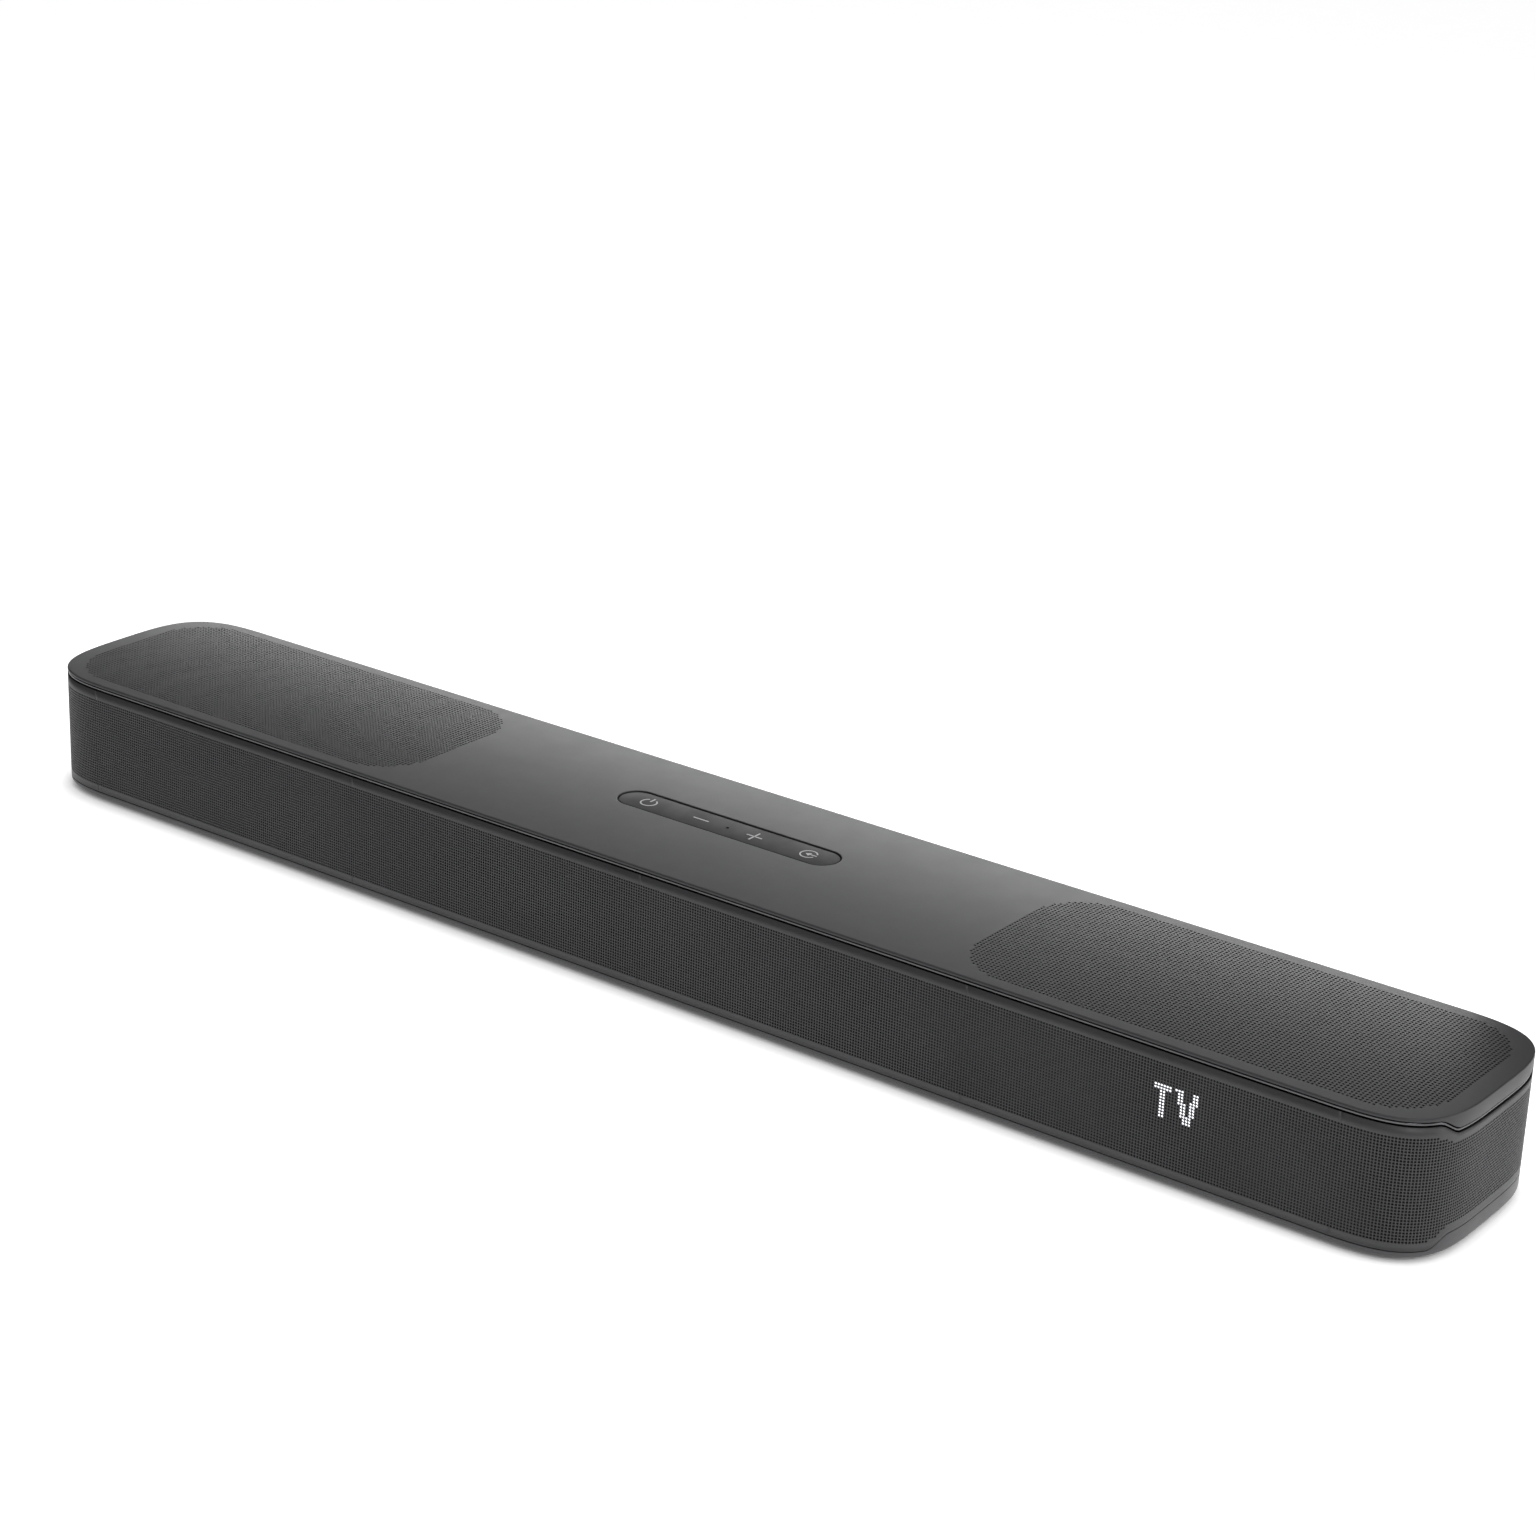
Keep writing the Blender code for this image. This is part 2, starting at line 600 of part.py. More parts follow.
def build_driver(name, place, turn, straight):
    """Frame with its magnet, paper cone with its voice coil, and rubber surround; +Z fires outwards."""
    empty = new_empty(name, place, turn)
    basket_back = -FLANGE_THICKNESS - BASKET_DEPTH
    magnet_back = basket_back - MAGNET_LENGTH
    groove_inner = COIL_RADIUS - COIL_WALL - COIL_GAP
    groove_outer = COIL_RADIUS + COIL_GAP
    groove_bottom = magnet_back + BASKET_WALL
    neck = MAGNET_RADIUS + MAGNET_NECK
    inner_lip = OPENING_RADIUS
    frame = racetrack_piece(
        name + "_frame",
        [
            (0, groove_inner, basket_back),
            (0, groove_inner, groove_bottom),
            (0, groove_outer, groove_bottom),
            (0, groove_outer, basket_back + BASKET_WALL),
            (0, neck - BASKET_WALL, basket_back + BASKET_WALL),
            (straight, inner_lip, -BASKET_WALL),
            (straight, inner_lip, 0),
            (straight, DRIVER_RADIUS, 0),
            (straight, DRIVER_RADIUS, -FLANGE_THICKNESS),
            (straight, inner_lip + BASKET_WALL, -FLANGE_THICKNESS),
            (0, neck, basket_back + BASKET_WALL),
            (0, neck, basket_back),
            (0, MAGNET_RADIUS, basket_back),
            (0, MAGNET_RADIUS, magnet_back),
        ],
        DRIVER_POINTS,
        "driver_steel",
    )

    roll = SURROUND_WIDTH / 2
    roll_middle = inner_lip - GAP - roll
    sections = []
    for radius, angles in ((roll, arc(0, 180, ROLL_STEPS)), (roll - SURROUND_SKIN, arc(180, 0, ROLL_STEPS))):
        for a in angles:
            away = roll_middle + radius * math.cos(a)
            sections.append((straight, away, radius * math.sin(a) - SURROUND_DROP))
    surround = racetrack_piece(name + "_surround", sections, DRIVER_POINTS, "soft_rubber", ring=True)

    rim = roll_middle - roll - GAP
    cap_z = basket_back / 2
    coil_back = basket_back - COIL_GAP - DRIVER_TRAVEL
    cone = racetrack_piece(
        name + "_cone",
        [
            (0, COIL_RADIUS / 3, cap_z + 3 * PAPER_THICKNESS),
            (0, COIL_RADIUS * 0.8, cap_z + 2 * PAPER_THICKNESS),
            (0, COIL_RADIUS, cap_z),
            (straight, rim, PAPER_THICKNESS - SURROUND_DROP),
            (straight, rim, -SURROUND_DROP),
            (0, COIL_RADIUS + PAPER_THICKNESS, cap_z - PAPER_THICKNESS),
            (0, COIL_RADIUS, cap_z - 2 * PAPER_THICKNESS),
            (0, COIL_RADIUS, coil_back),
            (0, COIL_RADIUS - COIL_WALL, coil_back),
            (0, COIL_RADIUS - COIL_WALL, cap_z - PAPER_THICKNESS),
            (0, COIL_RADIUS / 2, cap_z + PAPER_THICKNESS),
        ],
        DRIVER_POINTS,
        "cone_paper",
    )
    for item in (frame, surround, cone):
        item.parent = empty


def build_drivers():
    front_y = ENCLOSURE_INNER + GAP - BACK
    for name, side in (("left_driver", -1), ("centre_driver", 0), ("right_driver", 1)):
        build_driver(name, (side * SIDE_DRIVER_X, front_y, DRIVER_Z), (90, 0, 0), DRIVER_STRAIGHT)
    end_x = END - END_BAFFLE_DEPTH - END_BAFFLE_WALL - GAP
    build_driver("left_end_driver", (-end_x, 0, DRIVER_Z), (90, 0, -90), END_DRIVER_STRAIGHT)
    build_driver("right_end_driver", (end_x, 0, DRIVER_Z), (90, 0, 90), END_DRIVER_STRAIGHT)


def build_passive(name, place, turn):
    """A stiff disc in a rubber ring whose roll dips inwards; +Z points out of the bar."""
    empty = new_empty(name, place, turn)
    roll_outer = PASSIVE_RADIUS - PASSIVE_SEAT
    roll_inner = DIAPHRAGM_RADIUS + GAP + PASSIVE_ROLL_MARGIN
    roll = (roll_outer - roll_inner) / 2
    middle = (roll_outer + roll_inner) / 2
    lower = [(PASSIVE_RADIUS, 0.0)]
    lower += [(middle + roll * math.cos(a), -roll * math.sin(a)) for a in arc(0, 180, PASSIVE_ROLL_STEPS)]
    lower += [(DIAPHRAGM_RADIUS + GAP, 0.0)]
    upper = [(radius, z + PASSIVE_SKIN) for radius, z in reversed(lower)]
    sections = [(0, radius, z) for radius, z in lower + upper]
    surround = racetrack_piece(name + "_surround", sections, PASSIVE_POINTS, "soft_rubber", ring=True)
    top = PASSIVE_SKIN / 2
    diaphragm = racetrack_piece(
        name + "_diaphragm",
        [
            (0, DIAPHRAGM_RADIUS * 0.3, top),
            (0, DIAPHRAGM_RADIUS * 0.4, top - DIAPHRAGM_DISH),
            (0, DIAPHRAGM_RADIUS * 0.85, top - DIAPHRAGM_DISH),
            (0, DIAPHRAGM_RADIUS, top),
            (0, DIAPHRAGM_RADIUS, top - DIAPHRAGM_THICKNESS),
        ],
        PASSIVE_POINTS,
        "diaphragm_metal",
    )
    for item in (surround, diaphragm):
        item.parent = empty


def build_passives():
    for side, x in (("left", -PASSIVE_X), ("right", PASSIVE_X)):
        build_passive(f"{side}_top_passive", (x, 0, DECK_TOP + GAP), (0, 0, 0))
        build_passive(f"{side}_base_passive", (x, 0, BOSS_TOP + GAP + PASSIVE_SKIN), (180, 0, 0))


def key_places():
    names = ("power_key", "volume_down_key", "volume_up_key", "source_key")
    return [(name, (k - 1.5) * KEY_PITCH) for k, name in enumerate(names)]


def build_keys():
    for name, x in key_places():
        mesh = bmesh.new()
        half = (KEY_LENGTH / 2, KEY_WIDTH / 2)
        add_box(mesh, (-half[0], -half[1], -KEY_PLATE), (half[0], half[1], 0))
        under = min(mesh.faces, key=lambda face: face.calc_center_median().z)
        bmesh.ops.inset_region(mesh, faces=[under], thickness=KEY_WIDTH / 3)
        post = bmesh.ops.extrude_discrete_faces(mesh, faces=[under])["faces"]
        corners = list({corner for face in post for corner in face.verts})
        bmesh.ops.translate(mesh, verts=corners, vec=(0, 0, KEY_POST_BOTTOM - KEY_TOP + KEY_PLATE))
        key = new_object(name, mesh, "inner_plastic")
        key.location = (x, STRIP_Y, KEY_TOP)


def build_key_strip():
    place = turned((0, STRIP_Y, 0), (0, 0, 0))
    mesh = bmesh.new()
    radius = STRIP_RADIUS - GAP
    sections = [
        (STRIP_STRAIGHT, radius, STRIP_BOTTOM),
        (STRIP_STRAIGHT, radius, STRIP_TOP - GAP),
        (STRIP_STRAIGHT, radius - GAP, STRIP_TOP),
    ]
    add_racetracks(mesh, sections, STRIP_POINTS, matrix=place)
    skin = new_object("keypad_skin", mesh, "key_skin")
    hole = bmesh.new()
    sections = [(0, SOUND_HOLE_RADIUS, z) for z in (STRIP_BOTTOM - GAP, STRIP_TOP + GAP)]
    add_racetracks(hole, sections, SMALL_POINTS, matrix=place)
    combine(skin, hole, "DIFFERENCE")

    mesh = bmesh.new()
    sections = [(STRIP_STRAIGHT, STRIP_RADIUS + SEAT_MARGIN, z) for z in (SEAT_BOTTOM, KEY_TOP)]
    add_racetracks(mesh, sections, SEAT_POINTS, matrix=place)
    seat = new_object("key_seat", mesh, "inner_plastic")
    wells = bmesh.new()
    for _, x in key_places():
        low = (x - KEY_LENGTH / 2 - GAP, STRIP_Y - KEY_WIDTH / 2 - GAP, SEAT_BOTTOM - GAP)
        high = (x + KEY_LENGTH / 2 + GAP, STRIP_Y + KEY_WIDTH / 2 + GAP, KEY_TOP + GAP)
        add_box(wells, low, high)
    sections = [(0, MICROPHONE_RADIUS + GAP, z) for z in (SEAT_BOTTOM - GAP, KEY_TOP + GAP)]
    add_racetracks(wells, sections, ROUND_POINTS, matrix=place)
    combine(seat, wells, "DIFFERENCE")

    reach = STRIP_STRAIGHT + STRIP_RADIUS
    low = (-reach, STRIP_Y - STRIP_RADIUS, KEY_BOARD_BOTTOM)
    board = box_piece("key_board", low, (reach, STRIP_Y + STRIP_RADIUS, KEY_BOARD_TOP), "board_green")
    domes = bmesh.new()
    for _, x in key_places():
        sections = [(0, DOME_RADIUS, KEY_BOARD_TOP - GAP), (0, DOME_RADIUS * 0.8, DOME_TOP)]
        add_racetracks(domes, sections, SMALL_POINTS, matrix=turned((x, STRIP_Y, 0), (0, 0, 0)))
    combine(board, domes, "UNION")

    sections = [(0, MICROPHONE_RADIUS, SEAT_BOTTOM), (0, MICROPHONE_RADIUS, KEY_TOP - GAP)]
    microphone = racetrack_piece("microphone", sections, ROUND_POINTS, "plated_steel")
    microphone.location = (0, STRIP_Y, 0)


def build_display():
    x = END - DISPLAY_FROM_END
    half = DISPLAY_LENGTH / 2
    tall = DISPLAY_HEIGHT / 2
    front = -BACK + GRILLE_WALL + GAP
    low = (x - half, front, DISPLAY_Z - tall)
    high = (x + half, front + DIFFUSER_THICKNESS, DISPLAY_Z + tall)
    box_piece("display_diffuser", low, high, "smoked_diffuser")
    back = front + DIFFUSER_THICKNESS + GAP
    low = (x - half, back, DISPLAY_Z - tall)
    high = (x + half, back + DISPLAY_BOARD_THICKNESS, DISPLAY_Z + tall)
    box_piece("display_board", low, high, "board_green")
    sections = [
        (0, RECEIVER_RADIUS, -RECEIVER_LENGTH),
        (0, RECEIVER_RADIUS, -RECEIVER_RADIUS / 2),
        (0, RECEIVER_RADIUS * 0.8, -RECEIVER_RADIUS / 6),
        (0, RECEIVER_RADIUS * 0.4, 0),
    ]
    receiver = racetrack_piece("remote_receiver", sections, SMALL_POINTS, "inner_plastic")
    receiver.location = (END - RECEIVER_FROM_END, front, DISPLAY_Z)
    receiver.rotation_euler = (math.radians(90), 0, 0)


def build_rear():
    low = (-REAR_EDGE_X, BACK - REAR_WALL, GRILLE_BOTTOM)
    panel = box_piece("rear_panel", low, (REAR_EDGE_X, BACK, GRILLE_TOP), "satin_base")
    holes = bmesh.new()
    low = (BAY_LEFT, BACK - REAR_WALL - GAP, BAY_BOTTOM)
    add_box(holes, low, (BAY_RIGHT, BACK + GAP, BAY_TOP))
    for side in (-1, 1):
        sections = [(0, INSERT_RADIUS + GAP, z) for z in (-REAR_WALL - GAP, GAP)]
        place = turned((side * INSERT_X, BACK, INSERT_Z), (-90, 0, 0))
        add_racetracks(holes, sections, ROUND_POINTS, matrix=place)
    combine(panel, holes, "DIFFERENCE")

    for side, x in (("left", -INSERT_X), ("right", INSERT_X)):
        flange_front = -REAR_WALL - GAP
        flange_back = flange_front - INSERT_FLANGE
        sections = [
            (0, INSERT_BORE, flange_back),
            (0, INSERT_FLANGE_RADIUS, flange_back),
            (0, INSERT_FLANGE_RADIUS, flange_front),
            (0, INSERT_RADIUS, flange_front),
            (0, INSERT_RADIUS, 0),
            (0, INSERT_BORE, 0),
        ]
        insert = racetrack_piece(f"{side}_mount_insert", sections, ROUND_POINTS, "brass", ring=True)
        insert.location = (x, BACK, INSERT_Z)
        insert.rotation_euler = (math.radians(-90), 0, 0)


def build_sockets():
    for name, (x, width, height, mouth_width, mouth_height, mouth_depth) in SOCKETS.items():
        z = SOCKET_Z + height / 2
        low = (x - width / 2, SOCKET_BACK, z - height / 2)
        finish = SOCKET_FINISH.get(name, "plated_steel")
        socket = box_piece(name, low, (x + width / 2, SOCKET_FACE, z + height / 2), finish)
        mouth_back = SOCKET_FACE - mouth_depth
        mouth = bmesh.new()
        if name == "power_inlet":
            radius = mouth_height / 2
            sections = [(mouth_width / 2 - radius, radius, depth) for depth in (-mouth_depth, GAP)]
            add_racetracks(mouth, sections, ROUND_POINTS, matrix=turned((x, SOCKET_FACE, z), (-90, 0, 0)))
        else:
            low = (x - mouth_width / 2, mouth_back, z - mouth_height / 2)
            add_box(mouth, low, (x + mouth_width / 2, SOCKET_FACE + GAP, z + mouth_height / 2))
        combine(socket, mouth, "DIFFERENCE")

        contacts = bmesh.new()
        root = mouth_back - CONTACT_THICKNESS
        root_z = -mouth_depth - CONTACT_THICKNESS
        if name == "power_inlet":
            sections = [(0, PIN_RADIUS, root_z), (0, PIN_RADIUS, -2 * CONTACT_THICKNESS)]
            for side in (-1, 1):
                place = turned((x + side * PIN_SPACING / 2, SOCKET_FACE, z), (-90, 0, 0))
                add_racetracks(contacts, sections, PIN_POINTS, matrix=place)
        elif name == "optical_socket":
            sections = [(0, PIN_RADIUS, root_z), (0, PIN_RADIUS, PIN_RADIUS - mouth_depth)]
            place = turned((x, SOCKET_FACE, z), (-90, 0, 0))
            add_racetracks(contacts, sections, PIN_POINTS, matrix=place)
        else:
            reach = mouth_width / 2 - 2 * CONTACT_THICKNESS
            half = CONTACT_THICKNESS / 2
            low = (x - reach, root, z - half)
            front = SOCKET_FACE - 2 * CONTACT_THICKNESS
            if name == "network_socket":
                low = (x - reach, root, z + mouth_height / 2 - 2 * CONTACT_THICKNESS)
                half = low[2] + CONTACT_THICKNESS - z
            add_box(contacts, low, (x + reach, front, z + half))
        combine(socket, contacts, "UNION")


def build_socket_bay():
    """The sleeve behind the rear panel's opening, and the plate that closes it round the sockets."""
    plate_back = BAY_FLOOR - BAY_WALL
    low = (BAY_LEFT - BAY_WALL, plate_back, BAY_BOTTOM - BAY_WALL)
    high = (BAY_RIGHT + BAY_WALL, BACK - REAR_WALL - GAP, BAY_TOP + BAY_WALL)
    sleeve = box_piece("socket_bay", low, high, "inner_plastic")
    hollow = bmesh.new()
    add_box(hollow, (BAY_LEFT, plate_back - GAP, BAY_BOTTOM), (BAY_RIGHT, BACK, BAY_TOP))
    combine(sleeve, hollow, "DIFFERENCE")

    low = (BAY_LEFT + GAP, plate_back, BAY_BOTTOM + GAP)
    plate = box_piece("socket_plate", low, (BAY_RIGHT - GAP, BAY_FLOOR, BAY_TOP - GAP), "inner_plastic")
    windows = bmesh.new()
    for x, width, height, _, _, _ in SOCKETS.values():
        low = (x - width / 2 - GAP, plate_back - GAP, SOCKET_Z - GAP)
        add_box(windows, low, (x + width / 2 + GAP, BAY_FLOOR + GAP, SOCKET_Z + height + GAP))
    combine(plate, windows, "DIFFERENCE")


def on_board(x, size, setback):
    """Lowest and highest corners of a part that stands on a board."""
    front = BOARD_BACK - BOARD_WIDTH + setback
    low = (x - size[0] / 2, front, SOCKET_Z)
    return low, (x + size[0] / 2, front + size[1], SOCKET_Z + size[2])


def build_boards():
    front = BOARD_BACK - BOARD_WIDTH
    left, right = MAIN_BOARD_ENDS
    main = box_piece("main_board", (left, front, BOARD_Z), (right, BOARD_BACK, BOARD_TOP), "board_green")
    chips = bmesh.new()
    chip_front = front + CHIP_SETBACK
    for x, size in CHIPS:
        low = (x - size / 2, chip_front, BOARD_TOP - GAP)
        add_box(chips, low, (x + size / 2, chip_front + size, BOARD_TOP + CHIP_HEIGHT))
    combine(main, chips, "UNION")
    box_piece("wireless_module", *on_board(MODULE_X, MODULE_SIZE, MODULE_SETBACK), "plated_steel")

    left, right = POWER_BOARD_ENDS
    high = (right, BOARD_BACK, BOARD_TOP)
    box_piece("power_supply_board", (left, front, BOARD_Z), high, "board_green")
    corners = on_board(TRANSFORMER_X, TRANSFORMER_SIZE, TRANSFORMER_SETBACK)
    box_piece("transformer", *corners, "winding_yellow", bevel=TRANSFORMER_BEVEL)

    sink_right = SINK_LEFT + (FIN_COUNT - 1) * FIN_PITCH + FIN_WIDTH
    sink_top = SOCKET_Z + SINK_HEIGHT
    low = (SINK_LEFT, front + SINK_SETBACK, SOCKET_Z)
    sink = box_piece("heat_sink", low, (sink_right, BOARD_BACK - SINK_SETBACK, sink_top), "bare_aluminium")
    grooves = bmesh.new()
    for k in range(FIN_COUNT - 1):
        x = SINK_LEFT + k * FIN_PITCH + FIN_WIDTH
        low = (x, front, SOCKET_Z + SINK_FOOT)
        add_box(grooves, low, (x + FIN_PITCH - FIN_WIDTH, BOARD_BACK, sink_top + GAP))
    combine(sink, grooves, "DIFFERENCE")


clear_scene()
build_top_cover()
build_trim_lip()
build_wrap_grille()
build_enclosure()
build_top_deck()
build_base_cover()
build_feet()
build_drivers()
build_passives()
build_keys()
build_key_strip()
build_display()
build_rear()
build_socket_bay()
build_sockets()
build_boards()
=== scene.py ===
import math
from bisect import bisect_right

import bmesh
import bpy
from mathutils import Matrix, Vector


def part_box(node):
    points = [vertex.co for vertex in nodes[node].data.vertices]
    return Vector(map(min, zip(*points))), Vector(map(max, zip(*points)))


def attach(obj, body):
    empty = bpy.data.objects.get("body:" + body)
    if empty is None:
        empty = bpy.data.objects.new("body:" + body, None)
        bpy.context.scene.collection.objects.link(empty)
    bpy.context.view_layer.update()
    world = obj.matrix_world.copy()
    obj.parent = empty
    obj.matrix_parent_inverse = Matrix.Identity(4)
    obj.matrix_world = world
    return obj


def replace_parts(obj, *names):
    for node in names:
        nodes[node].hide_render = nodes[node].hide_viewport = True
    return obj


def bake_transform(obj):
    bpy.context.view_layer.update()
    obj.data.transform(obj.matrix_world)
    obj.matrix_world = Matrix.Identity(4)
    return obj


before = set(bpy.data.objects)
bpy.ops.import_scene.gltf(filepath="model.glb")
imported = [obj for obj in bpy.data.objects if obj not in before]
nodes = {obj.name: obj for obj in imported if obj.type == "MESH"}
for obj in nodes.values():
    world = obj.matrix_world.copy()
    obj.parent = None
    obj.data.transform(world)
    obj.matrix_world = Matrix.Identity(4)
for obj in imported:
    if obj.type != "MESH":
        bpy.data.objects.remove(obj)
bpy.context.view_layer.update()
scene = bpy.context.scene
MM = 0.001

# ---------------------------------------------------------------- Camera
# It stands in front of the bar's right half, a little above it, with a long lens and a slight tilt.
azimuth, elevation, tilt = (math.radians(angle) for angle in (36.17, 21.33, 2.24))
target = Vector((-0.04749, 0.09772, 0.04512))
distance = 1.53896
backward = Vector((
    math.sin(azimuth) * math.cos(elevation),
    -math.cos(azimuth) * math.cos(elevation),
    math.sin(elevation),
))
level_right = (-backward).cross(Vector((0, 0, 1))).normalized()
level_up = level_right.cross(-backward)
right = level_right * math.cos(tilt) + level_up * math.sin(tilt)
up = level_up * math.cos(tilt) - level_right * math.sin(tilt)
camera = bpy.data.objects.new("camera", bpy.data.cameras.new("camera"))
scene.collection.objects.link(camera)
turned = Matrix((right, up, backward)).transposed().to_4x4()
camera.matrix_world = Matrix.Translation(target + backward * distance) @ turned
camera.data.lens = 81.34
camera.data.sensor_width = 36.0
camera.data.clip_start = 0.01
camera.data.clip_end = 50.0
scene.camera = camera

# ---------------------------------------------------------------- Studio
# A pale floor that glows evenly except for a painted contact shadow under and beside the bar, a white
# surround that is dim near the ground, and four soft lights: a long one behind the bar, a large one overhead,
# one beside the right end and a small one off its front corner.
scene.view_settings.view_transform = "Standard"
scene.view_settings.look = "None"

world = bpy.data.worlds.new("studio")
world.use_nodes = True
scene.world = world
tree = world.node_tree
tree.nodes.clear()
direction = tree.nodes.new("ShaderNodeTexCoord")
parts = tree.nodes.new("ShaderNodeSeparateXYZ")
upwards = tree.nodes.new("ShaderNodeMapRange")
upwards.inputs["From Min"].default_value = 0.2
upwards.inputs["To Min"].default_value = 0.04
upwards.inputs["To Max"].default_value = 0.5
seen = tree.nodes.new("ShaderNodeLightPath")
strength = tree.nodes.new("ShaderNodeMix")
strength.inputs["B"].default_value = 1.0
sky = tree.nodes.new("ShaderNodeBackground")
sky.inputs["Color"].default_value = (1, 1, 1, 1)
world_out = tree.nodes.new("ShaderNodeOutputWorld")
tree.links.new(direction.outputs["Generated"], parts.inputs[0])
tree.links.new(parts.outputs["Z"], upwards.inputs["Value"])
tree.links.new(upwards.outputs["Result"], strength.inputs["A"])
tree.links.new(seen.outputs["Is Camera Ray"], strength.inputs["Factor"])
tree.links.new(strength.outputs["Result"], sky.inputs["Strength"])
tree.links.new(sky.outputs[0], world_out.inputs[0])


def soft_light(name, place, aim, width, depth, power):
    """A rectangular studio light that the camera doesn't see."""
    light = bpy.data.lights.new(name, "AREA")
    light.shape = "RECTANGLE"
    light.size = width
    light.size_y = depth
    light.energy = power
    item = bpy.data.objects.new(name, light)
    scene.collection.objects.link(item)
    item.location = place
    item.rotation_mode = "QUATERNION"
    item.rotation_quaternion = (Vector(aim) - Vector(place)).to_track_quat("-Z", "Y")
    item.visible_camera = False
    return item


soft_light("overhead", (0.1, 0.2, 1.5), (0, 0, 0), 1.6, 1.2, 7.0)
soft_light("behind", (-0.18, 0.12, 0.09), (-0.18, 0.0, 0.05), 0.94, 0.03, 0.37)
soft_light("right_end", (1.15, 0.25, 0.38), (0.3, 0, 0.03), 0.7, 0.5, 2.9)
soft_light("front_corner", (1.006, -0.705, 0.86), (0.2, 0, 0.03), 0.3, 0.3, 4.0)


def material(name):
    """An empty material with its principled shader: (material, tree, shader)."""
    made = bpy.data.materials.new(name)
    made.use_nodes = True
    made.node_tree.nodes.clear()
    shader = made.node_tree.nodes.new("ShaderNodeBsdfPrincipled")
    end = made.node_tree.nodes.new("ShaderNodeOutputMaterial")
    made.node_tree.links.new(shader.outputs[0], end.inputs[0])
    return made, made.node_tree, shader


def noise(tree, size, detail=3.0):
    """A noise on the piece's own coordinates, with features of about this size in metres."""
    where = tree.nodes.new("ShaderNodeTexCoord")
    texture = tree.nodes.new("ShaderNodeTexNoise")
    texture.inputs["Scale"].default_value = 1.0 / size
    texture.inputs["Detail"].default_value = detail
    tree.links.new(where.outputs["Object"], texture.inputs["Vector"])
    return texture.outputs["Fac"]


def spread(tree, value, low, high, start=0.3, finish=0.7):
    """The value's range from start to finish, taken to the range from low to high."""
    change = tree.nodes.new("ShaderNodeMapRange")
    change.inputs["From Min"].default_value = start
    change.inputs["From Max"].default_value = finish
    change.inputs["To Min"].default_value = low
    change.inputs["To Max"].default_value = high
    tree.links.new(value, change.inputs["Value"])
    return change.outputs["Result"]


def tinted(tree, value, dark, light):
    """A colour between two greys or tints, chosen by the value."""
    mix = tree.nodes.new("ShaderNodeMix")
    mix.data_type = "RGBA"
    mix.inputs["A"].default_value = (*dark, 1)
    mix.inputs["B"].default_value = (*light, 1)
    tree.links.new(value, mix.inputs["Factor"])
    return mix.outputs["Result"]


def bumped(tree, shader, value, height, strength=1.0):
    """Raises the surface by the value times the height, in metres."""
    bump = tree.nodes.new("ShaderNodeBump")
    bump.inputs["Distance"].default_value = height
    bump.inputs["Strength"].default_value = strength
    tree.links.new(value, bump.inputs["Height"])
    tree.links.new(bump.outputs[0], shader.inputs["Normal"])


def moulded(name, dark, light, rough_low, rough_high, grain=0.25 * MM, height=0.01 * MM, metallic=0.0):
    """A finish with a fine spark-eroded grain, a cloudy change of tone and patches that are more worn."""
    made, tree, shader = material(name)
    cloud = noise(tree, 30 * MM)
    fine = noise(tree, grain, 2.0)
    tree.links.new(tinted(tree, spread(tree, cloud, 0, 1), dark, light), shader.inputs["Base Color"])
    tree.links.new(spread(tree, noise(tree, 9 * MM), rough_low, rough_high), shader.inputs["Roughness"])
    shader.inputs["Metallic"].default_value = metallic
    bumped(tree, shader, fine, height)
    return made


floor_mesh = bmesh.new()
bmesh.ops.create_grid(floor_mesh, x_segments=2, y_segments=2, size=4.0)
floor_data = bpy.data.meshes.new("floor")
floor_mesh.to_mesh(floor_data)
floor_mesh.free()
floor = bpy.data.objects.new("floor", floor_data)
scene.collection.objects.link(floor)
pale_floor_painted_shadow = moulded("pale_floor_painted_shadow", (0.84, 0.84, 0.84), (0.87, 0.87, 0.87), 0.8, 0.9, 2 * MM, 0.02 * MM)
floor_shader = pale_floor_painted_shadow.node_tree.nodes["Principled BSDF"]
floor_shader.inputs["Specular IOR Level"].default_value = 0.1
floor_shader.inputs["Emission Color"].default_value = (1, 1, 1, 1)
# The floor's glow fades to nothing where ambient occlusion finds the bar within 8 mm: a painted contact
# shadow under and beside the bar.
painted_shadow_occlusion = pale_floor_painted_shadow.node_tree.nodes.new("ShaderNodeAmbientOcclusion")
painted_shadow_occlusion.inputs["Distance"].default_value = 8 * MM
glow = spread(pale_floor_painted_shadow.node_tree, painted_shadow_occlusion.outputs["AO"], 0.0, 0.71, 0.0, 1.0)
pale_floor_painted_shadow.node_tree.links.new(glow, floor_shader.inputs["Emission Strength"])
floor_data.materials.append(pale_floor_painted_shadow)

# ---------------------------------------------------------------- Base cover
# The lowest piece: a satin moulded tray with a rounded lower edge, whose rim rises towards both ends.
# Slots under the two lower passive radiators let them breathe, and a ring above each slot field seats one.
HALF_LENGTH = 354.5 * MM
HALF_DEPTH = 50.5 * MM
CORNER = 48.0 * MM
SQUARENESS = 3.5
FINENESS = 500
CORNER_PARTS = 44
END_RISE = 4.6 * MM

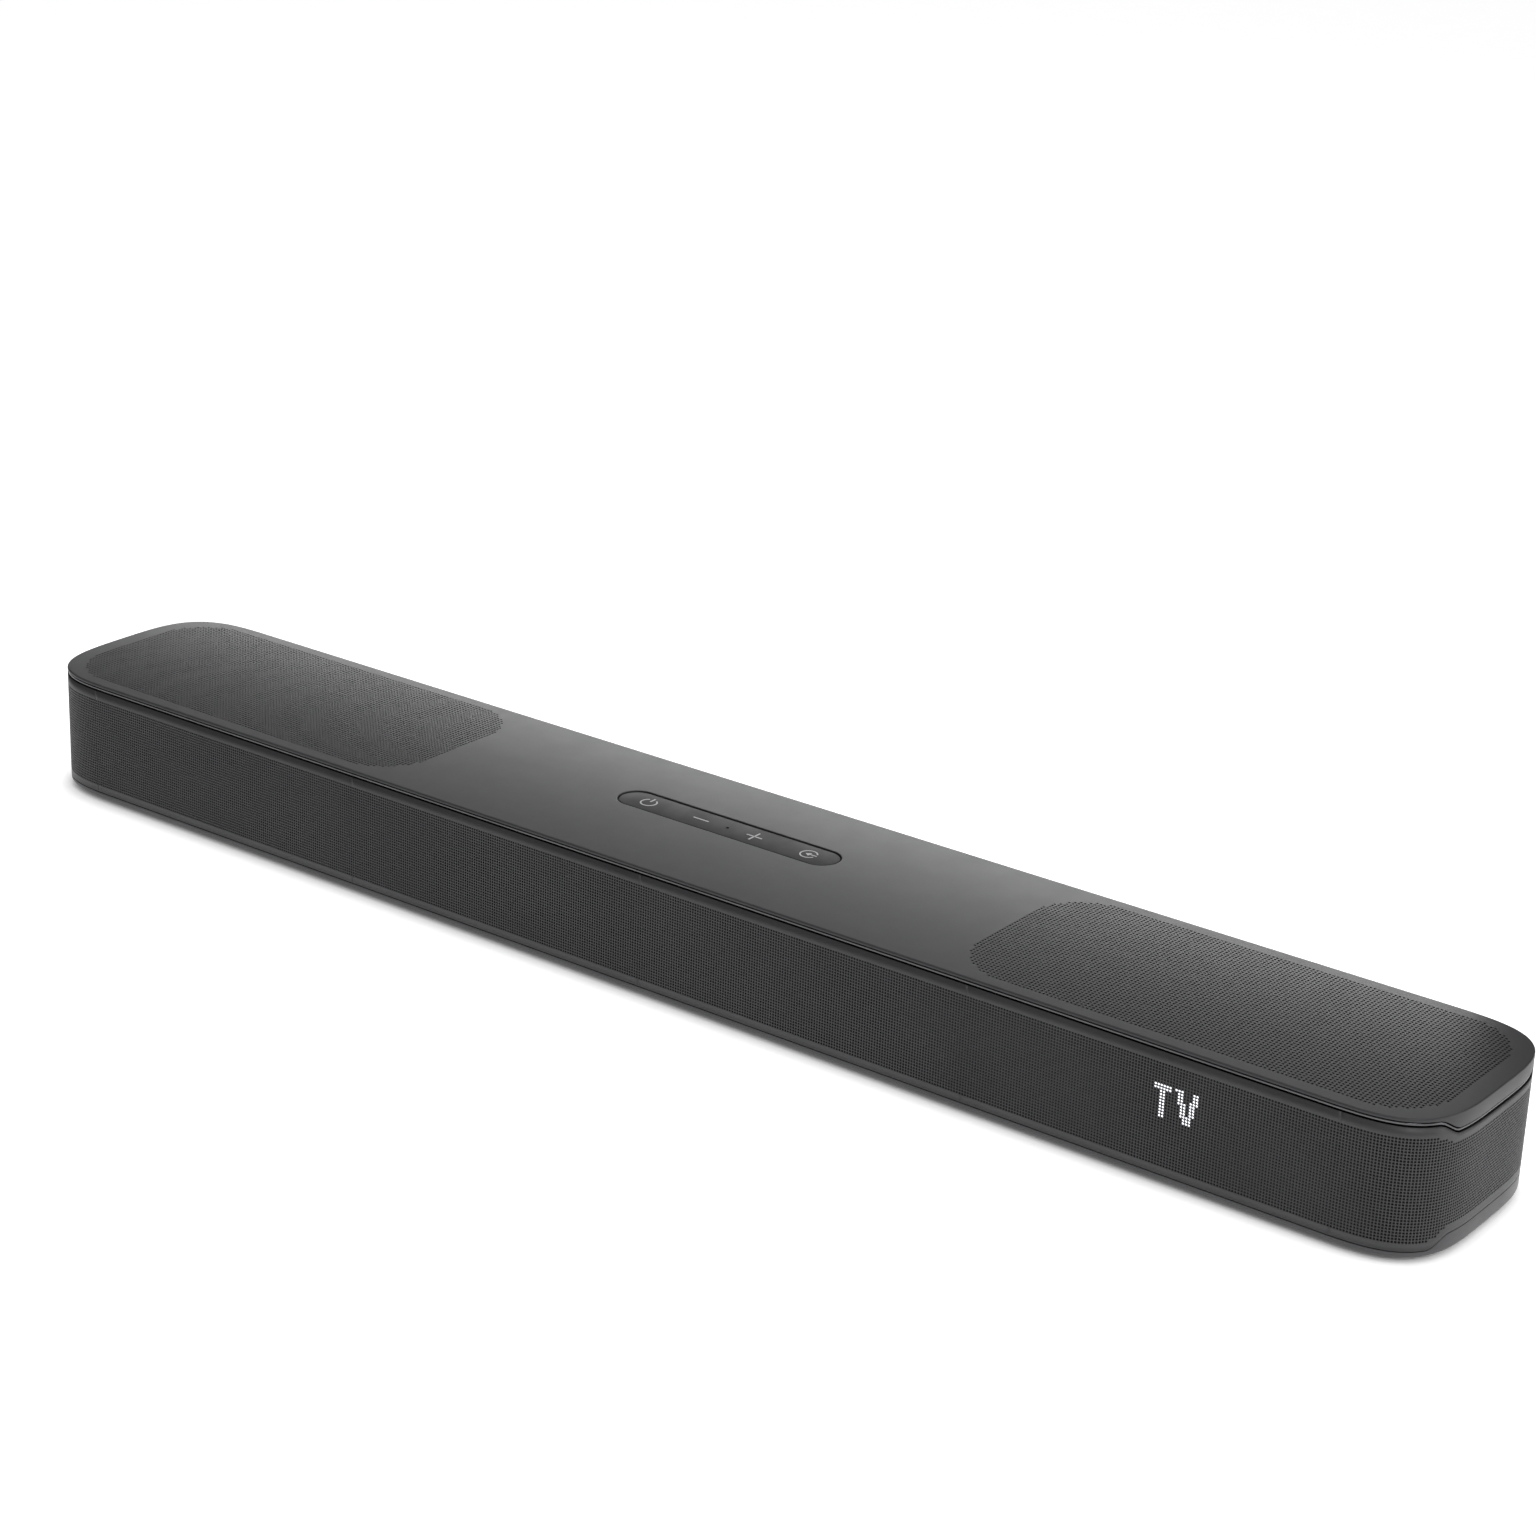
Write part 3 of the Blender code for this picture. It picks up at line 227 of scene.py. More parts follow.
walk = []
for side, face, towards_face in ((-1, 1, False), (-1, -1, True), (1, -1, False), (1, 1, True)):
    for step in range(FINENESS + 1):
        turn = math.pi / 2 * (step if towards_face else FINENESS - step) / FINENESS
        across = max(math.cos(turn), 0.0) ** (2 / SQUARENESS)
        along = max(math.sin(turn), 0.0) ** (2 / SQUARENESS)
        out = Vector((side * across ** (SQUARENESS - 1), face * along ** (SQUARENESS - 1))).normalized()
        x = side * (HALF_LENGTH - CORNER + CORNER * across)
        y = face * (HALF_DEPTH - CORNER + CORNER * along)
        walk.append((Vector((x, y)), out))
travelled = [0.0]
for (before, _), (after, _) in zip(walk, walk[1:]):
    travelled.append(travelled[-1] + (after - before).length)
CORNER_LENGTH = travelled[FINENESS]
WRAP_LENGTH = travelled[-1]


def on_plan(distance, inset=0.0):
    """The point of the bar's outline this far round from the rear left corner, moved inwards."""
    if distance > WRAP_LENGTH:
        return Vector((HALF_LENGTH - CORNER - (distance - WRAP_LENGTH), HALF_DEPTH - inset))
    at = min(max(bisect_right(travelled, distance) - 1, 0), len(walk) - 2)
    share = (distance - travelled[at]) / max(travelled[at + 1] - travelled[at], 1e-12)
    point = walk[at][0].lerp(walk[at + 1][0], share)
    return point - walk[at][1].lerp(walk[at + 1][1], share).normalized() * inset


def seam_rise(y):
    """How far the seams have stepped at this depth: nothing at the faces, all of it at the ends."""
    part = min(max((38.0 * MM - abs(y)) / (10.0 * MM), 0.0), 1.0)
    return part * part * (3 - 2 * part)


stations = []
for corner in range(4):
    begin = travelled[corner * (FINENESS + 1)]
    stations += [begin + CORNER_LENGTH * part / CORNER_PARTS for part in range(CORNER_PARTS + 1)]


def ring(inset, height, end_height=None):
    """One loop round the bar, at one height at the faces and another at the ends."""
    end_height = height if end_height is None else end_height
    loop = []
    for station in stations:
        plan = on_plan(station, inset)
        rise = seam_rise(on_plan(station).y)
        loop.append(Vector((plan.x, plan.y, height + (end_height - height) * rise)))
    return loop


def loft(mesh, loops, closed=False):
    """A skin through the loops: the first one is extruded to each next one, and its ends joined or capped."""
    first = bmesh.ops.create_circle(mesh, segments=len(loops[0]), radius=1.0, cap_ends=False)["verts"]
    for corner, point in zip(first, loops[0]):
        corner.co = point
    edges = [mesh.edges.get((first[i - 1], first[i])) for i in range(len(first))]
    if not closed:
        bmesh.ops.contextual_create(mesh, geom=edges)
    corners = first
    for loop in loops[1:] + (loops[:1] if closed else []):
        made = set(bmesh.ops.extrude_edge_only(mesh, edges=edges)["geom"])
        moved = []
        for corner, point in zip(corners, loop):
            twin = next(o for o in (edge.other_vert(corner) for edge in corner.link_edges) if o in made)
            twin.co = point
            moved.append(twin)
        corners = moved
        edges = [mesh.edges.get((corners[i - 1], corners[i])) for i in range(len(corners))]
    if closed:
        bmesh.ops.weld_verts(mesh, targetmap=dict(zip(corners, first)))
    else:
        bmesh.ops.contextual_create(mesh, geom=edges)
    return corners


def piece(name, mesh, finish, smooth=35, outwards=True):
    """Turns the mesh into a named piece, with its faces outwards and its creases kept crisp."""
    if outwards:
        bmesh.ops.recalc_face_normals(mesh, faces=mesh.faces)
    data = bpy.data.meshes.new(name)
    mesh.to_mesh(data)
    mesh.free()
    for polygon in data.polygons:
        polygon.use_smooth = bool(smooth)
    if smooth:
        data.set_sharp_from_angle(angle=math.radians(smooth))
    data.materials.append(finish)
    item = bpy.data.objects.new(name, data)
    scene.collection.objects.link(item)
    return item


def cut(item, cutter):
    """Cuts the closed cutter mesh out of the piece for good."""
    bmesh.ops.recalc_face_normals(cutter, faces=cutter.faces)
    data = bpy.data.meshes.new("cutter")
    cutter.to_mesh(data)
    cutter.free()
    tool = bpy.data.objects.new("cutter", data)
    scene.collection.objects.link(tool)
    change = item.modifiers.new("cut", "BOOLEAN")
    change.object = tool
    change.operation = "DIFFERENCE"
    change.solver = "EXACT"
    ready = item.evaluated_get(bpy.context.evaluated_depsgraph_get())
    whole = item.data
    item.data = bpy.data.meshes.new_from_object(ready)
    item.data.name = whole.name
    item.modifiers.clear()
    bpy.data.objects.remove(tool)
    bpy.data.meshes.remove(data)
    bpy.data.meshes.remove(whole)


def dress(finish, *names):
    """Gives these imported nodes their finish, in every material slot that they have."""
    for name in names:
        for place in nodes[name].material_slots:
            place.material = finish


def capsule(mesh, centre, half_length, radius, low, high, parts=16):
    """A closed upright prism with round ends that runs along X."""
    loops = []
    for z in (low, high):
        loop = []
        for step in range(2 * parts):
            turn = 2 * math.pi * (step + 0.5) / (2 * parts)
            straight = math.copysign(max(half_length - radius, 0.0), math.cos(turn))
            x = centre[0] + straight + radius * math.cos(turn)
            loop.append(Vector((x, centre[1] + radius * math.sin(turn), z)))
        loops.append(loop)
    loft(mesh, loops)


satin_base = moulded("satin_base_plastic", (0.052, 0.052, 0.055), (0.064, 0.064, 0.067), 0.34, 0.44)
satin_base.node_tree.nodes["Principled BSDF"].inputs["Metallic"].default_value = 0.2
mesh = bmesh.new()
round_edge = []
for step in range(7):
    turn = math.radians(90 * step / 6)
    round_edge.append(ring(2.0 * MM * (1 - math.sin(turn)), 2.0 * MM + 2.0 * MM * (1 - math.cos(turn))))
loft(mesh, round_edge + [
    ring(0.0, 4.5 * MM, 9.1 * MM),
    ring(0.06 * MM, 4.64 * MM, 9.24 * MM),
    ring(0.2 * MM, 4.7 * MM, 9.3 * MM),
    ring(2.2 * MM, 4.7 * MM, 9.3 * MM),
    ring(2.4 * MM, 4.6 * MM, 9.2 * MM),
    ring(2.4 * MM, 4.0 * MM, 4.0 * MM),
])
base = piece("base_shell", mesh, satin_base)
mesh = bmesh.new()
for side in (-1, 1):
    for row in (-2, -1, 0, 1, 2):
        half = math.sqrt((29.0 * MM) ** 2 - (row * 10.0 * MM) ** 2)
        capsule(mesh, (side * 245.0 * MM, row * 10.0 * MM), half, 1.6 * MM, 1.0 * MM, 5.0 * MM, 6)
cut(base, mesh)
base.data.set_sharp_from_angle(angle=math.radians(35))
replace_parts(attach(base, "housing"), "base_cover")

mesh = bmesh.new()
for side in (-1, 1):
    loops = []
    for radius, z in ((35.0, 3.9), (38.3, 3.9), (38.3, 10.0), (35.0, 10.0)):
        loops.append([
            Vector((side * 245.0 * MM + radius * MM * math.cos(t), radius * MM * math.sin(t), z * MM))
            for t in (2 * math.pi * part / 64 for part in range(64))
        ])
    loft(mesh, loops, closed=True)
seats = piece("passive_seats", mesh, satin_base)
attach(seats, "housing")

# ---------------------------------------------------------------- Feet
# Four round pads of soft black rubber, glued into the base near its corners.
soft_rubber = moulded(
    "soft_rubber", (0.009, 0.009, 0.009), (0.014, 0.014, 0.014),
    0.62, 0.8, 0.4 * MM, 0.02 * MM,
)
soft_rubber.node_tree.nodes["Principled BSDF"].inputs["Specular IOR Level"].default_value = 0.35
dress(soft_rubber, "front_left_foot", "front_right_foot", "rear_left_foot", "rear_right_foot")

# ---------------------------------------------------------------- Enclosure and deck
# The sealed box inside: a ribless moulded wall that carries the drivers, and the deck that closes it.
# It is matt black, so that nothing of it shows through the perforations.
inner_plastic = moulded(
    "inner_plastic", (0.008, 0.008, 0.008), (0.012, 0.012, 0.012),
    0.6, 0.75, 0.5 * MM, 0.02 * MM,
)
inner_plastic.node_tree.nodes["Principled BSDF"].inputs["Specular IOR Level"].default_value = 0.25
dress(inner_plastic, "enclosure", "top_deck")

# ---------------------------------------------------------------- Drivers
# Three racetrack drivers face forwards and one faces out at each end. Each has a pressed steel frame
# with its magnet, a coated paper cone on its voice coil, and a rubber roll that lets the cone move.


def brushed(name, dark, light, rough_low, rough_high, stretch, metallic=1.0):
    """A metal with fine marks drawn out along one direction; stretch scales the marks on each axis."""
    made, tree, shader = material(name)
    where = tree.nodes.new("ShaderNodeTexCoord")
    drawn = tree.nodes.new("ShaderNodeMapping")
    drawn.inputs["Scale"].default_value = stretch
    marks = tree.nodes.new("ShaderNodeTexNoise")
    marks.inputs["Scale"].default_value = 1.0
    marks.inputs["Detail"].default_value = 3.0
    tree.links.new(where.outputs["Object"], drawn.inputs["Vector"])
    tree.links.new(drawn.outputs[0], marks.inputs["Vector"])
    tone = tinted(tree, spread(tree, marks.outputs["Fac"], 0, 1), dark, light)
    tree.links.new(tone, shader.inputs["Base Color"])
    tree.links.new(spread(tree, marks.outputs["Fac"], rough_low, rough_high), shader.inputs["Roughness"])
    shader.inputs["Metallic"].default_value = metallic
    bumped(tree, shader, marks.outputs["Fac"], 0.01 * MM)
    return made


DRIVERS = ("left", "centre", "right", "left_end", "right_end")
driver_steel = brushed(
    "pressed_steel", (0.05, 0.05, 0.052), (0.09, 0.09, 0.092),
    0.38, 0.55, (900, 900, 900), 0.7,
)
cone_paper = moulded(
    "coated_paper", (0.014, 0.014, 0.015), (0.022, 0.022, 0.023),
    0.65, 0.85, 0.9 * MM, 0.06 * MM,
)
dress(driver_steel, *(f"{place}_driver_frame" for place in DRIVERS))
dress(cone_paper, *(f"{place}_driver_cone" for place in DRIVERS))
dress(soft_rubber, *(f"{place}_driver_surround" for place in DRIVERS))

# ---------------------------------------------------------------- Passive radiators
# Two weighted metal discs in the deck and two over the base slots, each on its own rubber roll.
PASSIVES = ("left_top", "right_top", "left_base", "right_base")
diaphragm_metal = brushed(
    "anodised_disc", (0.04, 0.04, 0.044), (0.06, 0.06, 0.064),
    0.35, 0.5, (700, 700, 700), 0.8,
)
dress(diaphragm_metal, *(f"{place}_passive_diaphragm" for place in PASSIVES))
dress(soft_rubber, *(f"{place}_passive_surround" for place in PASSIVES))

# ---------------------------------------------------------------- Circuit boards
# Green solder-masked boards with a faint pattern of tracks, a taped transformer, a drawn aluminium
# heat sink for the amplifier and a plated can over the wireless module.
board_green, tree, shader = material("solder_mask")
where = tree.nodes.new("ShaderNodeTexCoord")
tracks = tree.nodes.new("ShaderNodeTexBrick")
tracks.inputs["Scale"].default_value = 160.0
tracks.inputs["Mortar Size"].default_value = 0.06
tracks.inputs["Color1"].default_value = (0.012, 0.075, 0.035, 1)
tracks.inputs["Color2"].default_value = (0.016, 0.095, 0.045, 1)
tracks.inputs["Mortar"].default_value = (0.03, 0.16, 0.08, 1)
tree.links.new(where.outputs["Object"], tracks.inputs["Vector"])
tree.links.new(tracks.outputs["Color"], shader.inputs["Base Color"])
tree.links.new(spread(tree, noise(tree, 4 * MM), 0.25, 0.4), shader.inputs["Roughness"])
bumped(tree, shader, tracks.outputs["Fac"], 0.03 * MM)
dress(board_green, "main_board", "power_supply_board", "key_board", "display_board")

winding_tape = moulded("winding_tape", (0.55, 0.42, 0.06), (0.7, 0.54, 0.1), 0.35, 0.5, 3 * MM, 0.08 * MM)
dress(winding_tape, "transformer")
drawn_aluminium = brushed(
    "drawn_aluminium", (0.6, 0.6, 0.62), (0.75, 0.75, 0.77),
    0.3, 0.45, (40, 2500, 2500),
)
dress(drawn_aluminium, "heat_sink")
plated_steel = brushed("plated_steel", (0.5, 0.5, 0.52), (0.66, 0.66, 0.68), 0.22, 0.38, (600, 600, 120))
dress(plated_steel, "wireless_module", "microphone")

# ---------------------------------------------------------------- Rear panel and sockets
# The panel closes the back. A recess in its middle holds the sockets, each soldered to the main board
# behind it, and two brass inserts take the screws of a wall bracket.
turned_brass = brushed("turned_brass", (0.6, 0.43, 0.16), (0.75, 0.57, 0.26), 0.25, 0.4, (300, 2500, 300))
dress(satin_base, "rear_panel")
dress(inner_plastic, "socket_bay", "socket_plate", "power_inlet", "optical_socket")
dress(plated_steel, "av_input_socket", "av_output_socket", "network_socket", "service_socket")
dress(turned_brass, "left_mount_insert", "right_mount_insert")

# ---------------------------------------------------------------- Wrap grille
# One perforated steel band, powder coated black. It runs round the front and both ends in a single bend,
# with plain borders along its two edges, and snaps into the seam over the base cover.
STEEL = 0.25 * MM
COLUMN = 1.26 * MM
ROW = 1.2353 * MM
HOLE = 0.44 * MM
ROWS = 34
FIRST_ROW = 8.1 * MM
TOP_ROW = FIRST_ROW + ROWS * ROW
GRILLE_LOW = 5.05 * MM
GRILLE_HIGH = 54.2 * MM
GRILLE_PIECES = 6
PLAIN_END = 9.0 * MM
PLAIN_RISE_LOW = 4.7 * MM
PLAIN_RISE_HIGH = 3.7 * MM
SLACK = 0.01 * MM
columns = round(WRAP_LENGTH / COLUMN)
column_width = WRAP_LENGTH / columns

black_steel, tree, shader = material("black_powder_coat")
speckle = noise(tree, 0.35 * MM, 2.0)
tone = spread(tree, noise(tree, 45 * MM), 0, 1)
tree.links.new(tinted(tree, tone, (0.036, 0.036, 0.038), (0.046, 0.046, 0.048)), shader.inputs["Base Color"])
tree.links.new(spread(tree, speckle, 0.4, 0.52), shader.inputs["Roughness"])
shader.inputs["Metallic"].default_value = 0.15
bumped(tree, shader, speckle, 0.012 * MM)


def punched_sheet(mesh, first, count, rows, width, height, radius, is_open):
    """A flat sheet of cells, count by rows, with a round hole punched in each cell that is_open names."""
    sheet = bmesh.ops.create_grid(mesh, x_segments=count, y_segments=rows, size=0.5)["verts"]
    for corner in sheet:
        corner.co.x = (round((corner.co.x + 0.5) * count) + first) * width
        corner.co.y = round((corner.co.y + 0.5) * rows) * height
    blanks = []
    for face in mesh.faces:
        middle = face.calc_center_median()
        if is_open(int(middle.x // width), int(middle.y // height)):
            blanks.append(face)
    slack_x = width / 2 - radius * math.sqrt(0.5)
    bmesh.ops.inset_individual(mesh, faces=blanks, thickness=slack_x)
    edges = list({edge for face in blanks for edge in face.edges})
    bmesh.ops.delete(mesh, geom=blanks, context="FACES_ONLY")
    made = bmesh.ops.subdivide_edges(mesh, edges=edges, cuts=1)["geom_inner"]
    for corner in made:
        if isinstance(corner, bmesh.types.BMVert):
            middle = Vector(((corner.co.x // width + 0.5) * width, (corner.co.y // height + 0.5) * height, 0))
            reach = corner.co - middle
            corner.co = middle + reach.normalized() * radius


def grille_hole(column, row):
    """True where the band is punched: inside its plain borders, which follow the stepped seams."""
    if row < 1 or row > ROWS:
        return False
    distance = (column + 0.5) * column_width
    if min(distance, WRAP_LENGTH - distance) < PLAIN_END:
        return False
    rise = seam_rise(on_plan(distance).y)
    low = FIRST_ROW + (row - 1) * ROW
    clear_below = low >= FIRST_ROW + PLAIN_RISE_LOW * rise - SLACK
    return clear_below and low + ROW <= TOP_ROW - PLAIN_RISE_HIGH * rise + SLACK


for part in range(GRILLE_PIECES):
    mesh = bmesh.new()
    first = columns * part // GRILLE_PIECES
    count = columns * (part + 1) // GRILLE_PIECES - first
    punched_sheet(mesh, first, count, ROWS + 2, column_width, ROW, HOLE, grille_hole)
    for corner in mesh.verts:
        distance = corner.co.x
        z = FIRST_ROW + corner.co.y - ROW
        rise = seam_rise(on_plan(distance).y)
        low, high = GRILLE_LOW + END_RISE * rise, GRILLE_HIGH - END_RISE * rise
        if corner.co.y < 0.01 * ROW:
            z = GRILLE_LOW
        if corner.co.y > (ROWS + 1.99) * ROW:
            z = GRILLE_HIGH
        plain_low = FIRST_ROW + PLAIN_RISE_LOW * rise
        plain_high = TOP_ROW - PLAIN_RISE_HIGH * rise
        if z < plain_low:
            z = low + (z - GRILLE_LOW) * (plain_low - low) / (plain_low - GRILLE_LOW)
        if z > plain_high:
            z = high - (GRILLE_HIGH - z) * (high - plain_high) / (GRILLE_HIGH - plain_high)
        plan = on_plan(distance)
        corner.co = (plan.x, plan.y, z)
    bmesh.ops.recalc_face_normals(mesh, faces=mesh.faces)
    middle = mesh.faces[:][len(mesh.faces) // 2]
    if middle.normal.xy.dot(middle.calc_center_median().xy) < 0:
        bmesh.ops.reverse_faces(mesh, faces=mesh.faces)
    band = piece(f"grille_part_{part + 1}", mesh, black_steel, smooth=35, outwards=False)
    wall = band.modifiers.new("steel", "SOLIDIFY")
    wall.thickness = STEEL
    wall.offset = -1.0
    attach(band, "housing")
    if part == 0:
        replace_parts(band, "wrap_grille")

# A thin black fleece is glued inside the steel and keeps dust out.
FLEECE_OUTER = 0.75 * MM
FLEECE_INNER = 0.9 * MM
FLEECE_MARGIN = 0.2 * MM
fleece = moulded(
    "black_fleece", (0.010, 0.010, 0.010), (0.016, 0.016, 0.016),
    0.85, 0.95, 0.4 * MM, 0.05 * MM,
)
mesh = bmesh.new()
strips = []
for station in stations:
    rise = seam_rise(on_plan(station).y)
    low = GRILLE_LOW + FLEECE_MARGIN + END_RISE * rise
    high = GRILLE_HIGH - FLEECE_MARGIN - END_RISE * rise
    outer, inner = on_plan(station, FLEECE_OUTER), on_plan(station, FLEECE_INNER)
    section = ((outer, low), (outer, high), (inner, high), (inner, low))
    strips.append([Vector((*place, z)) for place, z in section])
loft(mesh, strips)
liner = piece("grille_liner", mesh, fleece)
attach(liner, "housing")

# ---------------------------------------------------------------- Display
# A dark diffuser sits close behind the grille near the right end, with a small board behind it.
# Its dots line up with the grille's holes, and here they spell the name of the chosen input.
smoked_window = moulded(
    "smoked_window", (0.006, 0.006, 0.007), (0.009, 0.009, 0.01),
    0.35, 0.5, 2 * MM, 0.01 * MM,
)
dress(smoked_window, "display_diffuser", "remote_receiver")

lit_dot, tree, shader = material("lit_dot")
glow = tinted(tree, spread(tree, noise(tree, 2 * MM), 0, 1), (0.86, 0.9, 1.0), (1.0, 1.0, 1.0))
tree.links.new(glow, shader.inputs["Emission Color"])
tree.links.new(glow, shader.inputs["Base Color"])
shader.inputs["Emission Strength"].default_value = 1.6
shader.inputs["Roughness"].default_value = 0.4
SHOWN = (
    "######.###...##",
    "######..##...##",
    "..##....##...##",
    "..##....##..###",
    "..##....###.##.",
    "..##.....##.##.",
    "..##.....##.##.",
    "..##.....##.##.",
    "..##.....####..",
    "..##......###..",
    "..##......###..",
)
face_begins = travelled[FINENESS + 1] + CORNER_LENGTH
first_column = int((face_begins + HALF_LENGTH - CORNER + 241.4 * MM) / column_width)
top_row = 26
mesh = bmesh.new()
for down, line in enumerate(SHOWN):
    for over, mark in enumerate(line):
        if mark == "#":
            place = on_plan((first_column + over + 0.5) * column_width, STEEL + 0.1 * MM)
            z = FIRST_ROW + (top_row - down + 0.5) * ROW
            dot = bmesh.ops.create_circle(mesh, segments=10, radius=0.52 * MM, cap_ends=True)["verts"]
            bmesh.ops.rotate(mesh, verts=dot, matrix=Matrix.Rotation(math.radians(90), 3, "X"))
            bmesh.ops.translate(mesh, verts=dot, vec=(place.x, place.y, z))
bmesh.ops.solidify(mesh, geom=mesh.faces[:], thickness=0.2 * MM)
dots = piece("display_dots", mesh, lit_dot, smooth=0)
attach(dots, "housing")

# ---------------------------------------------------------------- Trim lip
# A thin closed hoop of glossy dark plastic that fills the seam between the grille and the top cover.
gloss_edge = moulded(
    "gloss_edge_plastic", (0.10, 0.10, 0.105), (0.13, 0.13, 0.135),
    0.16, 0.26, 0.5 * MM, 0.004 * MM, 0.6,
)
mesh = bmesh.new()
loft(mesh, [
    ring(0.5 * MM, 54.85 * MM, 50.25 * MM),
    ring(0.4 * MM, 55.0 * MM, 50.4 * MM),
    ring(0.4 * MM, 55.5 * MM, 50.9 * MM),
    ring(0.5 * MM, 55.65 * MM, 51.05 * MM),
    ring(3.0 * MM, 55.65 * MM, 51.05 * MM),
    ring(3.0 * MM, 54.85 * MM, 50.25 * MM),
], closed=True)
lip = piece("seam_lip", mesh, gloss_edge)
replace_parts(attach(lip, "housing"), "trim_lip")

# ---------------------------------------------------------------- Top cover
# One satin moulding with a slight crown. Its side band drops lower at the ends, it has a fine perforated
# field over each top passive radiator, and a long recess in the middle for the keys.
TOP = 58.0 * MM
CROWN = 0.45 * MM
CELL = 1.75 * MM
CELL_HOLE = 0.5 * MM
FIELD_START = 143.0 * MM
FIELD_COLUMNS = 116
FIELD_ROWS = 51
FIELD_CORNER = 26.0 * MM
COVER_WALL = 0.6 * MM
STRIP_Y = 6.0 * MM
STRIP_HALF = 56.5 * MM
STRIP_RADIUS = 8.75 * MM
MOUTH_ROUND = 0.35 * MM
EDGE_ROUND = 0.6 * MM
field_length = FIELD_COLUMNS * CELL
field_depth = FIELD_ROWS * CELL


def crowned(y, top=TOP):
    """The height of the crowned top at this depth."""
    return top - CROWN * (y / HALF_DEPTH) ** 2


def in_field(column, row):
    """True for a cell of the field, which is a rectangle with round corners."""
    x = abs(column + 0.5 - FIELD_COLUMNS / 2) * CELL - (field_length / 2 - FIELD_CORNER)
    y = abs(row + 0.5 - FIELD_ROWS / 2) * CELL - (field_depth / 2 - FIELD_CORNER)
    return x <= 0 or y <= 0 or math.hypot(x, y) <= FIELD_CORNER


def mouth_ring(reach, drop):
    """One loop of the key recess, this far outside its wall and below the cover's surface."""
    loop = []
    for step in range(64):
        turn = 2 * math.pi * (step + 0.5) / 64
        straight = math.copysign(STRIP_HALF - STRIP_RADIUS, math.cos(turn))
        radius = STRIP_RADIUS + reach
        surface = crowned(STRIP_Y + (STRIP_RADIUS + MOUTH_ROUND) * math.sin(turn))
        plan = (straight + radius * math.cos(turn), STRIP_Y + radius * math.sin(turn))
        loop.append(Vector((*plan, surface - drop)))
    return loop


satin_cover = moulded(
    "satin_cover_plastic", (0.031, 0.031, 0.033), (0.033, 0.033, 0.035),
    0.43, 0.46, 0.3 * MM, 0.012 * MM,
)
satin_cover.node_tree.nodes["Principled BSDF"].inputs["Specular IOR Level"].default_value = 0.4
plate = bmesh.new()
for side in (-1, 1):
    for half in (0, 1):
        mesh = bmesh.new()
        first = FIELD_COLUMNS // 2 * half
        punched_sheet(mesh, first, FIELD_COLUMNS // 2, FIELD_ROWS, CELL, CELL, CELL_HOLE, in_field)
        loose = []
        for face in mesh.faces:
            middle = face.calc_center_median()
            if not in_field(int(middle.x // CELL), int(middle.y // CELL)):
                loose.append(face)
        bmesh.ops.delete(mesh, geom=loose, context="FACES")
        for corner in mesh.verts:
            x = FIELD_START + corner.co.x
            y = corner.co.y - field_depth / 2
            corner.co = (side * x, y, crowned(y))
        if side < 0:
            bmesh.ops.reverse_faces(mesh, faces=mesh.faces)
        hand = "left" if side < 0 else "right"
        field = piece(f"{hand}_field_{half + 1}", mesh, satin_cover, smooth=0, outwards=False)
        wall = field.modifiers.new("wall", "SOLIDIFY")
        wall.thickness = COVER_WALL
        wall.offset = -1.0
        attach(field, "housing")
    # The plain plate starts from the field's own stepped outline.
    outline = bmesh.ops.create_grid(plate, x_segments=FIELD_COLUMNS, y_segments=FIELD_ROWS, size=0.5)["verts"]
    for corner in outline:
        corner.co.x = side * (FIELD_START + round((corner.co.x + 0.5) * FIELD_COLUMNS) * CELL)
        corner.co.y = round((corner.co.y + 0.5) * FIELD_ROWS) * CELL - field_depth / 2
plain = []
for face in plate.faces:
    middle = face.calc_center_median()
    column = int((abs(middle.x) - FIELD_START) // CELL)
    row = int((middle.y + field_depth / 2) // CELL)
    if not in_field(column, row):
        plain.append(face)
bmesh.ops.delete(plate, geom=plain, context="FACES")
stepped = [edge for edge in plate.edges if edge.is_boundary]
bmesh.ops.delete(plate, geom=plate.faces[:], context="FACES_ONLY")
bmesh.ops.delete(plate, geom=[edge for edge in plate.edges if edge not in set(stepped)], context="EDGES")
rim = bmesh.ops.create_circle(plate, segments=len(stations), radius=1.0)["verts"]
for corner, point in zip(rim, ring(EDGE_ROUND, 0.0)):
    corner.co = point
mouth = bmesh.ops.create_circle(plate, segments=64, radius=1.0)["verts"]
for corner, point in zip(mouth, mouth_ring(MOUTH_ROUND, 0.0)):
    corner.co = point
    corner.co.z = 0.0
bmesh.ops.triangle_fill(plate, edges=plate.edges[:], use_beauty=True, use_dissolve=False)
for cut_at in range(-12, 13):
    bmesh.ops.bisect_plane(
        plate, geom=plate.verts[:] + plate.edges[:] + plate.faces[:],
        plane_co=(0, cut_at * 4.0 * MM, 0), plane_no=(0, 1, 0),
    )
for corner in plate.verts:
    corner.co.z = crowned(corner.co.y)
bmesh.ops.recalc_face_normals(plate, faces=plate.faces)
if sum(face.normal.z for face in plate.faces) < 0:
    bmesh.ops.reverse_faces(plate, faces=plate.faces)
cover = piece("cover_plate", plate, satin_cover, smooth=0, outwards=False)
wall = cover.modifiers.new("wall", "SOLIDIFY")
wall.thickness = COVER_WALL
wall.offset = -1.0
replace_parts(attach(cover, "housing"), "top_cover")

